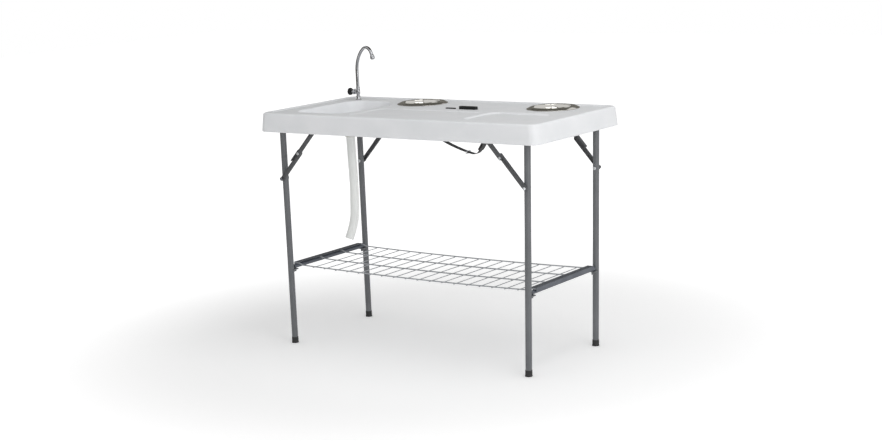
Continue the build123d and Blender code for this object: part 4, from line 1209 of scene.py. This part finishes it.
@dataclass
class LegFrame:
    """Folding frame of one side: two tubes, ribbed foot caps and weld beads at the cross tube.

    Attributes:
        side: Left or right.
        pivot: X and Z of the pivot axis, in millimetres.
        inset: How far the feet stand inboard of the pivots.
        leg_y: Distance of the legs from the middle.
        radius: Outer radius of the leg tube.
        cap_length: Length of a foot cap.
    """

    side: str
    pivot: Pair
    inset: float
    leg_y: float = 239.0
    radius: float = 12.0
    cap_length: float = 24.0

    def axis(self) -> np.ndarray:
        """Unit direction from the pivot down the leg."""
        way = 1.0 if self.side == "left" else -1.0
        lean = math.asin(self.inset / self.pivot[1])
        return np.array([way * math.sin(lean), 0.0, -math.cos(lean)])

    def make(self) -> None:
        """Build the tubes, the caps and the beads of both legs."""
        down = self.axis()
        reach = self.pivot[1] / -down[2]
        head = np.array([self.pivot[0], 0.0, self.pivot[1]])
        caps, beads = [], []
        for end, sign in ENDS:
            start = (head + [0, sign * self.leg_y, 0]) * MM
            length = reach - 7.0
            shaft = np.stack([np.full(24, self.radius), np.linspace(0, length - 1, 24)], axis=1)
            lid = [(0, -5.0), (8.6, -5.0), (9.2, -4.4), (10.4, -5.0), (11.4, -5.0), (12.0, -4.4)]
            profile = np.vstack([lid, shaft, [(11.6, length), (0, length)]])
            tube = turned(profile, tuple(start), tuple(down), 44)
            leg = mesh_piece(f"{self.side}_{end}_tube", tube, Finishes.GREY_POWDER,
                             f"{self.side}_leg_frame", 35.0)
            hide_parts(f"{self.side}_{end}_leg")
            caps.append(self.cap(start, down, reach))
            beads.append(self.bead(start, sign))
        boots = mesh_piece(f"{self.side}_boots", Skin.join(caps), Finishes.RUBBER,
                           f"{self.side}_leg_frame", 45.0)
        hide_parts(f"{self.side}_foot_caps")
        mesh_piece(f"{self.side}_weld_beads", Skin.join(beads), Finishes.GREY_POWDER,
                   f"{self.side}_leg_frame", 60.0)

    def cap(self, start: np.ndarray, down: np.ndarray, reach: float) -> Skin:
        """Ribbed foot cap, cut flat at the floor: points that would lie below it are lifted to it.

        Args:
            start: The leg's pivot point.
            down: Unit direction down the leg.
            reach: Distance from the pivot to the floor along the leg, in millimetres.

        Returns:
            The cap.
        """
        upper = reach - self.cap_length
        ribs = np.arange(3) * 5.0 + upper + 5.0
        grooves = np.vstack([[(13.2, r), (12.7, r + 0.7), (12.7, r + 1.8), (13.3, r + 2.5)] for r in ribs])
        profile = np.vstack([[(0, upper + 6), (12.05, upper + 6), (12.05, upper)],
                             arc((12.3, upper + 0.8), 0.8, -90, 0, 4), grooves,
                             [(13.6, upper + 20.5), (14.0, upper + 21.5), (14.0, reach - 1.0),
                              (13.2, reach + 0.2), (0, reach + 0.2)]])
        skin = turned(profile, tuple(start), tuple(down), 44)
        skin.points[:, 2] = np.maximum(skin.points[:, 2], 0.0)
        return skin

    def bead(self, start: np.ndarray, sign: float) -> Skin:
        """Weld bead round the cross tube where it meets the leg: its thickness wavers 36 times round.

        Args:
            start: The leg's pivot point.
            sign: Minus one at the front, one at the back.

        Returns:
            The bead.
        """
        turn = full_turn(108)
        around = full_turn(10)
        saddle = np.sqrt(self.radius ** 2 - (10.4 * np.cos(turn)) ** 2)
        thick = 1.5 + 0.28 * np.sin(36 * turn)
        radial = 10.6 + thick[:, None] * np.cos(around)[None, :]
        inward = saddle[:, None] + 0.5 + thick[:, None] * np.sin(around)[None, :]
        points = np.stack([radial * np.cos(turn)[:, None], -sign * inward, radial * np.sin(turn)[:, None]],
                          axis=2)
        return Skin(points.reshape(-1, 3) * MM + start, grid_faces(len(turn), len(around), True, True))


@dataclass
class KneeBraces:
    """Folding braces of one side: ribbed channel links, stops at the knees and domed nuts.

    Attributes:
        frame: The leg frame that they hold.
        on_leg: Distance from the frame's pivot to the bolt on the leg.
        on_top: Distance from the pivot to the pin under the top.
        half_width: Half the width of a link.
        lower_lane: Inner and outer faces of the lower links, from the table's middle.
        upper_lane: Inner and outer faces of the upper links.
        lane_gap: Room between a link's web and the end of its lane.
        gauge: Sheet thickness.
        stop: How far the folded stop starts before the knee and ends past it.
    """

    frame: LegFrame
    on_leg: float = 197.0
    on_top: float = 180.0
    half_width: float = 8.5
    lower_lane: Pair = (252.0, 262.0)
    upper_lane: Pair = (263.0, 272.0)
    lane_gap: float = 1.7
    gauge: float = 1.5
    stop: Pair = (14.0, 50.0)

    def joints(self) -> tuple[np.ndarray, np.ndarray, np.ndarray]:
        """Places of the leg bolt, the knee and the top pin; the lower link is longer by on_leg - on_top."""
        x, z = self.frame.pivot
        pivot = np.array([x, 0.0, z])
        bolt = pivot + self.on_leg * self.frame.axis()
        top = pivot - [math.copysign(self.on_top, x), 0.0, 0.0]
        span = float(np.linalg.norm(bolt - top))
        knee = top + (bolt - top) * (span - (self.on_leg - self.on_top)) / 2 / span
        return bolt, knee, top

    def channel(self, length: float, depth: float) -> Skin:
        """Channel with half-round ends: web and rib on top, rounded edges, flanges and the hollow inside.

        Args:
            length: Distance between the two holes.
            depth: Depth of the channel.

        Returns:
            The link, its first hole at the origin, running along X with its web up, in metres.
        """
        r, gauge, fold = self.half_width, self.gauge, 1.6
        inside = depth - gauge
        link = RingSkin()
        whole = Outline((length / 2, 0), (length / 2 + r, r), (r,) * 4, 9, 6)
        outside = np.vstack([[(3.4, depth)], arc((2.2, depth - 2.2), 2.2, 90, 180, 6), [(0, 1.0)],
                             arc((0.5, 0.5), 0.5, 180, 270, 3), [(gauge, 0)], [(gauge, inside - fold)],
                             arc((gauge + fold, inside - fold), fold, 180, 90, 4), [(4.4, inside)]])
        web, ceiling = link.carry(whole, outside)
        rib = Outline((length / 2, 0), (length / 2 - 9, 3.2), (3.2,) * 4, 6, 6)
        foot, crest = link.carry(rib, wave((-0.6, depth), (1.4, depth + 1.6), 6))
        link.fill(web, [foot])
        link.fill(crest, [])
        link.fill(ceiling, [])
        return link.skin()

    def cheek(self, length: float, depth: float) -> Skin:
        """Folded stop on the corner side, from before the knee to past it, over both lanes.

        Args:
            length: Distance between the upper link's two holes.
            depth: Depth of the upper link's channel.

        Returns:
            The stop in the upper link's frame, in metres.
        """
        reach = self.upper_lane[0] - self.lower_lane[0] - 2.0
        edge = self.half_width + 0.1
        plate = RingSkin()
        before, past = self.stop
        side = Outline((length + (past - before) / 2, (reach - depth) / 2),
                       ((past + before) / 2, (reach + depth) / 2), (5,) * 4, 9, 6)
        rows = np.array([(1, edge), (0, edge), (0, edge + 0.9), (0.6, edge + 1.6), (3, edge + 1.8)])
        inner, outer = plate.carry(side, rows)
        plate.fill(inner, [])
        plate.fill(outer, [])
        skin = plate.skin()
        return Skin(skin.points[:, [0, 2, 1]] * [1, 1, -1], skin.quads, skin.tris)

    def placed(self, skin: Skin, start: np.ndarray, end: np.ndarray, face: float) -> Skin:
        """Set a link in its place: X from start to end, Y towards the corner, Z out from the table's middle.

        Args:
            skin: The link in its own frame.
            start: Its first hole, in millimetres.
            end: Its second hole.
            face: Distance of the channel's open side from the middle, minus at the front.

        Returns:
            The link in the table's frame.
        """
        along = (end - start) / np.linalg.norm(end - start)
        corner = np.array([-along[2], 0.0, along[0]])
        corner *= math.copysign(1.0, corner[0] * self.frame.pivot[0])
        out = np.array([0.0, math.copysign(1.0, face), 0.0])
        origin = (start * [1, 0, 1] + [0, face, 0]) * MM
        points = origin + skin.points @ np.stack([along, corner, out])
        return Skin(points, skin.quads, skin.tris)

    def nut(self, bolt: np.ndarray, sign: float) -> Skin:
        """Domed cap nut on the outer end of a leg bolt: washer, hexagon and a half-round dome."""
        profile = np.vstack([[(0, 0.3), (7.0, 0.3), (7.0, 1.0), (6.9, 1.2), (6.9, 3.6), (6.3, 4.0)],
                             arc((0, 3.4), 5.6, 10, 90, 8)])
        lobes = np.ones((len(profile), 48))
        lobes[3:5] = np.minimum(hexagon(48) * 1.12, 1.0)
        return turned(profile, self.outside(bolt, sign), (0, sign, 0), 48, lobes)

    def head(self, bolt: np.ndarray, sign: float) -> Skin:
        """Low round bolt head, where the bolt goes in from outside."""
        profile = np.vstack([[(0, 0.3), (5.9, 0.3), (6.0, 1.6)], arc((0, -2.6), 7.2, 36, 90, 9)])
        return turned(profile, self.outside(bolt, sign), (0, sign, 0), 40)

    def outside(self, bolt: np.ndarray, sign: float) -> Point:
        """Point of a bolt's axis on the lower link's outer face, in metres."""
        return tuple(((bolt + [0, sign * self.lower_lane[1], 0]) * MM).tolist())

    def make(self) -> None:
        """Build links and nuts of both ends; the front right bolt shows its bright head, the others a nut."""
        bolt, knee, top = self.joints()
        side = self.frame.side
        nuts = []
        for end, sign in ENDS:
            for row, start, lane in (("upper", top, self.upper_lane), ("lower", bolt, self.lower_lane)):
                length = float(np.linalg.norm(knee - start))
                depth = lane[1] - lane[0] - self.lane_gap
                parts = [self.channel(length, depth)] + [self.cheek(length, depth)] * (row == "upper")
                both = Skin.join([self.placed(part, start, knee, sign * lane[0]) for part in parts])
                link = mesh_piece(f"{side}_{end}_{row}_link", both, Finishes.DARK_POWDER,
                                  f"{side}_{row}_braces", 50.0)
                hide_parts(f"{side}_{end}_{row}_brace")
            if (side, end) == ("right", "front"):
                mesh_piece("right_bolt_head", self.head(bolt, sign), Finishes.ZINC,
                           "right_leg_frame", 40.0)
            else:
                nuts.append(self.nut(bolt, sign))
        caps = mesh_piece(f"{side}_domed_nuts", Skin.join(nuts), Finishes.BLACK_CAP,
                          f"{side}_leg_frame", 40.0)
        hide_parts(f"{side}_cap_nuts")


@dataclass
class WireShelf:
    """Welded wire grid: four long wires that sag a little, cross wires below and a nugget at each weld.

    Attributes:
        ends: X of the two rails, in millimetres.
        rail_z: Height of the rails' axes.
        rail_radius: Outer radius of the rails.
        low_z: Height of the long wires beside their bends.
        bend: How far from its end a long wire's bend starts, and how long it is.
        wire_ys: Where the long wires lie.
        long_radius: Radius of a long wire.
        cross_radius: Radius of a cross wire.
        pitch: Distance between cross wires.
        crosses: Number of cross wires.
        sag: Depth of the middle under the straight line.
    """

    ends: Pair = (-561.0, 542.65)
    rail_z: float = 305.0
    rail_radius: float = 8.0
    low_z: float = 309.0
    bend: Pair = (12.0, 22.0)
    wire_ys: tuple[float, ...] = (-204.0, -68.0, 68.0, 204.0)
    long_radius: float = 2.5
    cross_radius: float = 1.6
    pitch: float = 56.0
    crosses: int = 18
    sag: float = 6.0

    def height(self, x: np.ndarray) -> np.ndarray:
        """Height of a long wire: the rail's top at its ends, a soft S down, then low_z - sag (1 - u^2)."""
        left, right = self.ends
        start, span = self.bend
        away = np.minimum(x - left, right - x)
        half = (right - left) / 2
        across = np.clip(np.abs(x - (left + right) / 2) / (half - start - span), 0, 1)
        low = self.low_z - self.sag * (1 - across ** 2)
        high = self.rail_z + self.rail_radius + self.long_radius
        s = np.clip((away - start) / span, 0, 1)
        return high + (low - high) * s * s * (3 - 2 * s)

    def make(self) -> None:
        """Build all wires and nuggets as one piece."""
        left, right = self.ends
        x = np.concatenate([np.linspace(left - 9, left + 36, 16), np.linspace(left + 60, right - 60, 40),
                            np.linspace(right - 36, right + 9, 16)])
        skins = []
        for y in self.wire_ys:
            path = np.stack([x, np.full(len(x), y), self.height(x)], axis=1) * MM
            skins.append(self.wire(path, self.long_radius, (0, 1, 0), 12))
        places = (np.arange(self.crosses) - (self.crosses - 1) / 2) * self.pitch
        heights = self.height(places) - self.long_radius - self.cross_radius + 0.4
        reach = self.wire_ys[-1] + 1.6
        for place, height in zip(places, heights):
            y = np.linspace(-reach, reach, 9)
            path = np.stack([np.full(9, place), y, np.full(9, height)], axis=1) * MM
            skins.append(self.wire(path, self.cross_radius, (1, 0, 0), 10))
            skins += [self.nugget(place, y_wire, height + self.cross_radius) for y_wire in self.wire_ys]
        grid = mesh_piece("welded_grid", Skin.join(skins), Finishes.WIRE_COAT, "shelf", 60.0)
        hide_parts("shelf_wires")

    def wire(self, path: np.ndarray, radius: float, across: Point, steps: int) -> Skin:
        """Round wire with domed ends: its radius closes over the last rings as a circle's does.

        Args:
            path: Points of its line, in metres.
            radius: Its radius, in millimetres.
            across: A direction that the path never runs along.
            steps: Points round.

        Returns:
            The wire.
        """
        tangent, side, normal = frames_along(path, np.array(across, float))
        ease = np.array([0.35, 0.75, 0.95])
        reach = radius * MM * (1 - np.sqrt(1 - ease ** 2))[::-1]
        head = path[0] - tangent[0] * radius * MM * 0.6 + tangent[0] * reach[:, None] * 0.4
        tail = path[-1] + tangent[-1] * radius * MM * 0.6 - tangent[-1] * reach[::-1, None] * 0.4
        line = np.vstack([head, path, tail])
        size = np.concatenate([ease, np.ones(len(path)), ease[::-1]]) * radius * MM
        side, normal = (np.pad(way, ((len(ease), len(ease)), (0, 0)), "edge") for way in (side, normal))
        return poled(line[:, None, :] + size[:, None, None] * spokes(side, normal, steps), line[0], line[-1])

    def nugget(self, x: float, y: float, z: float) -> Skin:
        """Squashed weld drop at a crossing: a flattened ball of three rings."""
        profile = [(0, -1.7), (2.1, -1.2), (2.9, 0.0), (2.1, 1.2), (0, 1.7)]
        return turned(profile, (x * MM, y * MM, z * MM), UP, 8)


@dataclass
class DrainFittings:
    """Ribbed coupling nut at the top of the hose.

    Attributes:
        centre: X and Y of the drain, in millimetres.
        ribs: Number of grip ribs round the nut.
    """

    centre: Pair = DRAIN_XY
    ribs: int = 24

    def make(self) -> None:
        """Build the nut: its radius is R (1 - 0.05 (0.5 + 0.5 cos ribs t)^2) between two plain bands."""
        profile = [(17.1, 799.0), (20.6, 799.0), (21.6, 799.8), (21.6, 801.0), (22.0, 801.4), (22.0, 808.4),
                   (21.6, 808.9), (21.4, 810.4), (19.6, 811.7), (17.1, 811.8)]
        turn = full_turn(6 * self.ribs)
        lobes = np.ones((len(profile), len(turn)))
        lobes[4:6] = 1 - 0.05 * (0.5 + 0.5 * np.cos(self.ribs * turn)) ** 2
        ribbed = turned(profile, (self.centre[0] * MM, self.centre[1] * MM, 0.0), UP, len(turn), lobes)
        nut = mesh_piece("ribbed_hose_nut", ribbed, Finishes.NYLON, "top", 40.0)
        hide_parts("hose_coupling_nut")


# Fixed pieces that only get a finish


def sided(*parts: str) -> tuple[str, ...]:
    """Names of pieces that both sides have."""
    return tuple(f"{side}_{part}" for side in SIDES for part in parts)


@dataclass(frozen=True)
class CarriedNodes:
    """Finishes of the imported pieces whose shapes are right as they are.

    Attributes:
        by_finish: Names of the pieces under each finish.
    """

    by_finish: dict[Finishes, tuple[str, ...]] = field(default_factory=lambda: {
        Finishes.BLACK_ABS: ("knife_slot_insert", "tool_slot_insert", "inlet_hose_nut", "strap_buckle"),
        Finishes.GREY_POWDER: sided("cross_tube", "shelf_rests"),
        Finishes.DARK_POWDER: sided("hangers", "brace_brackets"),
        Finishes.ZINC: (*sided("hanger_screws", "brace_pins", "knee_rivets", "brace_bolts"),
                        "tap_locknut", "strap_anchor_plates", "strap_screws", "strap_ring"),
        Finishes.RAIL_COAT: sided("shelf_rail", "shelf_channel"),
        Finishes.NYLON: ("drain_flange", "drain_locknut", "drain_tailpiece"),
    })

    def dress(self, nodes: dict[str, Piece]) -> None:
        """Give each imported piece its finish.

        Args:
            nodes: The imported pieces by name.
        """
        for finish, names in self.by_finish.items():
            for name in names:
                nodes[name].data.materials.clear()
                nodes[name].data.materials.append(finish.material)
            LOG.info("%s on %d pieces", finish.value.name, len(names))


# Camera and studio


@dataclass(frozen=True)
class PhotoCamera:
    """Camera at the photograph's place, from its right, up and forward directions.

    Attributes:
        position: Where it stands.
        right: Direction to the right of the picture.
        up: Direction up the picture.
        forward: Direction that it looks in.
        lens_mm: Focal length on a sensor 36 mm wide.
    """

    position: Point = (3.69461, -5.14449, 1.65165)
    right: Point = (0.81624533, 0.57614231, -0.04246877)
    up: Point = (-0.07001854, 0.17163307, 0.98266957)
    forward: Point = (-0.57344657, 0.79912585, -0.18043533)
    lens_mm: float = 68.51

    def make(self) -> None:
        """Create the camera and make it the scene's own."""
        data = bpy.data.cameras.new("photo_camera")
        data.lens = self.lens_mm
        data.sensor_width = SENSOR_MM
        data.clip_end = 50.0
        holder = linked("photo_camera", data)
        turn = Matrix([self.right, self.up, [-v for v in self.forward]]).transposed().to_4x4()
        holder.matrix_world = Matrix.Translation(self.position) @ turn
        bpy.context.scene.camera = holder


@dataclass(frozen=True)
class Studio:
    """Plain white studio: a pale floor that keeps soft shadows, a white world, soft lamps and grey flags.

    Attributes:
        world_strength: Light of the world from the sides and from above.
        flag_colour: Colour of the flags, sRGB hex.
        floor_colour: Colour of the floor, sRGB hex.
        floor_glow: Glow of the floor under the table and far away.
        floor_size: Length of the floor's sides.
    """

    world_strength: Pair = (1.06, 0.36)
    flag_colour: str = "#8C8A84"
    floor_colour: str = "#FFFFFF"
    floor_glow: Pair = (0.21, 0.68)
    floor_size: float = 28.0

    def make(self) -> None:
        """Create the floor, the world, the lamps and the flags."""
        self.floor()
        self.world()
        self.lamp("key_lamp", (4.0, -2.2, 1.5), (0.2, 0.0, 0.7), 2.4, 43.0)
        self.lamp("sky_lamp", (0.9, -0.2, 3.0), (0.3, 0.0, 0.5), 1.6, 17.0)
        self.flags()

    def sheet(self, name: str, middle: np.ndarray, across: np.ndarray, rise: np.ndarray,
              material: Material) -> Piece:
        """Flat sheet of the studio.

        Args:
            name: Its name.
            middle: Its middle.
            across: Its width, as a vector.
            rise: Its height, as a vector.
            material: What it is made of.

        Returns:
            The sheet.
        """
        corners = [middle + (a * across + b * rise) / 2 for a, b in ((-1, -1), (1, -1), (1, 1), (-1, 1))]
        mesh = bpy.data.meshes.new(name)
        mesh.from_pydata([corner.tolist() for corner in corners], [], [(0, 1, 2, 3)])
        mesh.materials.append(material)
        holder = linked(name, mesh)
        return holder

    def floor(self) -> None:
        """Large floor that looks white to the camera and keeps the object's shadow."""
        material, tree = new_material("studio_paper")
        shader = add_node(tree, "BsdfPrincipled", Base_Color=linear(self.floor_colour), Roughness=0.9,
                          Specular_IOR_Level=0.0)
        ray = add_node(tree, "LightPath")
        seen = math_node(tree, "MAXIMUM", ray.outputs["Is Camera Ray"], ray.outputs["Is Glossy Ray"])
        place = add_node(tree, "TexCoord")
        away = add_node(tree, "VectorMath", {"operation": "LENGTH"}, _0=place.outputs["Object"])
        reach = add_node(tree, "MapRange", {"interpolation_type": "SMOOTHSTEP"}, _0=away.outputs["Value"],
                         _1=0.8, _2=2.3, _3=self.floor_glow[0], _4=self.floor_glow[1])
        glow = add_node(tree, "Emission", Color=WHITE,
                        Strength=math_node(tree, "MULTIPLY", seen, reach.outputs["Result"]))
        both = add_node(tree, "AddShader", _0=shader.outputs["BSDF"], _1=glow.outputs["Emission"])
        add_node(tree, "OutputMaterial", Surface=both.outputs["Shader"])
        across, rise = self.floor_size * np.eye(3)[:2]
        self.sheet("studio_floor", np.zeros(3), across, rise, material)

    def flags(self) -> None:
        """Grey cloths round the table that only show in gloss and polish, as flags in a real studio do.

        One hangs overhead, walls stand behind, to the left and in front, and two bars break the open front.
        """
        felt, tree = new_material("grey_flag_felt")
        matt = add_node(tree, "BsdfDiffuse", Color=linear(self.flag_colour))
        add_node(tree, "OutputMaterial", Surface=matt.outputs["BSDF"])
        toward = np.array([0.583, -0.812, 0.0])
        right = np.array([0.812, 0.583, 0.0])
        up = np.array(UP)
        cloths = {
            "ceiling_flag": (-1.35 * toward - 0.1 * right + 2.9 * up, 3.1 * right, 3.3 * toward),
            "back_flag": (-3.0 * toward + 0.3 * right + 1.52 * up, 5.4 * right, 2.75 * up),
            "left_flag": (-2.4 * right - 0.3 * toward + 0.95 * up, 5.4 * toward, 1.7 * up),
            "front_flag": (2.6 * toward - 0.9 * right + 0.7 * up, 3.0 * right, 1.5 * up),
            "bar_flag_0": (1.4 * toward - 0.25 * right + 2.9 * up, 0.22 * right, 2.2 * toward),
            "bar_flag_1": (1.4 * toward + 0.7 * right + 2.9 * up, 0.22 * right, 2.2 * toward),
        }
        for name, (middle, across, rise) in cloths.items():
            cloth = self.sheet(name, middle, across, rise, felt)
            cloth.visible_camera = False
            cloth.visible_diffuse = False
            cloth.visible_shadow = False
            cloth.visible_transmission = False

    def world(self) -> None:
        """World that is white where seen or mirrored; as light it has white walls and a dimmer ceiling."""
        world = bpy.data.worlds.new("studio_world")
        bpy.context.scene.world = world
        world.use_nodes = True
        tree = world.node_tree
        tree.nodes.clear()
        ray = add_node(tree, "LightPath")
        mirrored = math_node(tree, "MAXIMUM", ray.outputs["Is Glossy Ray"],
                             ray.outputs["Is Transmission Ray"])
        seen = math_node(tree, "MAXIMUM", ray.outputs["Is Camera Ray"], mirrored)
        way = add_node(tree, "TexCoord")
        parts = add_node(tree, "SeparateXYZ", _0=way.outputs["Generated"])
        light = add_node(tree, "MapRange", {"interpolation_type": "SMOOTHSTEP"}, _0=parts.outputs["Z"],
                         _1=0.15, _2=0.65, _3=self.world_strength[0], _4=self.world_strength[1])
        strength = add_node(tree, "MapRange", _0=seen, _3=light.outputs["Result"], _4=1.0)
        sky = add_node(tree, "Background", Color=WHITE, Strength=strength.outputs["Result"])
        add_node(tree, "OutputWorld", Surface=sky.outputs["Background"])

    def lamp(self, name: str, place: Point, target: Point,
             size: float, power: float) -> None:
        """Square soft lamp that faces a target.

        Args:
            name: Lamp name.
            place: Where it hangs.
            target: What it faces.
            size: Length of its sides.
            power: Power in watts.
        """
        data = bpy.data.lights.new(name, "AREA")
        data.size = size
        data.energy = power
        holder = linked(name, data)
        holder.location = place
        holder.rotation_euler = (Vector(target) - Vector(place)).to_track_quat("-Z", "Y").to_euler()


def main() -> None:
    """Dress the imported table, set the camera and the studio, and note the sizes."""
    logging.basicConfig(level=logging.INFO, format="%(message)s")
    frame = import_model()
    bpy.context.scene.view_settings.view_transform = "Standard"
    PhotoCamera().make()
    DrainHose().make()
    WebbingStrap().make()
    MouldedTop().make()
    SpunBowl("left", LEFT_BOWL_XY).make()
    SpunBowl("right", RIGHT_BOWL_XY).make()
    GooseneckTap().make()
    for legs in (LegFrame("left", (-561.0, 857.0), 0.0), LegFrame("right", (561.0, 885.0), 28.0)):
        legs.make()
        KneeBraces(legs).make()
    WireShelf().make()
    DrainFittings().make()
    CarriedNodes().dress(frame["nodes"])
    Studio().make()


if __name__ == "__main__":
    main()
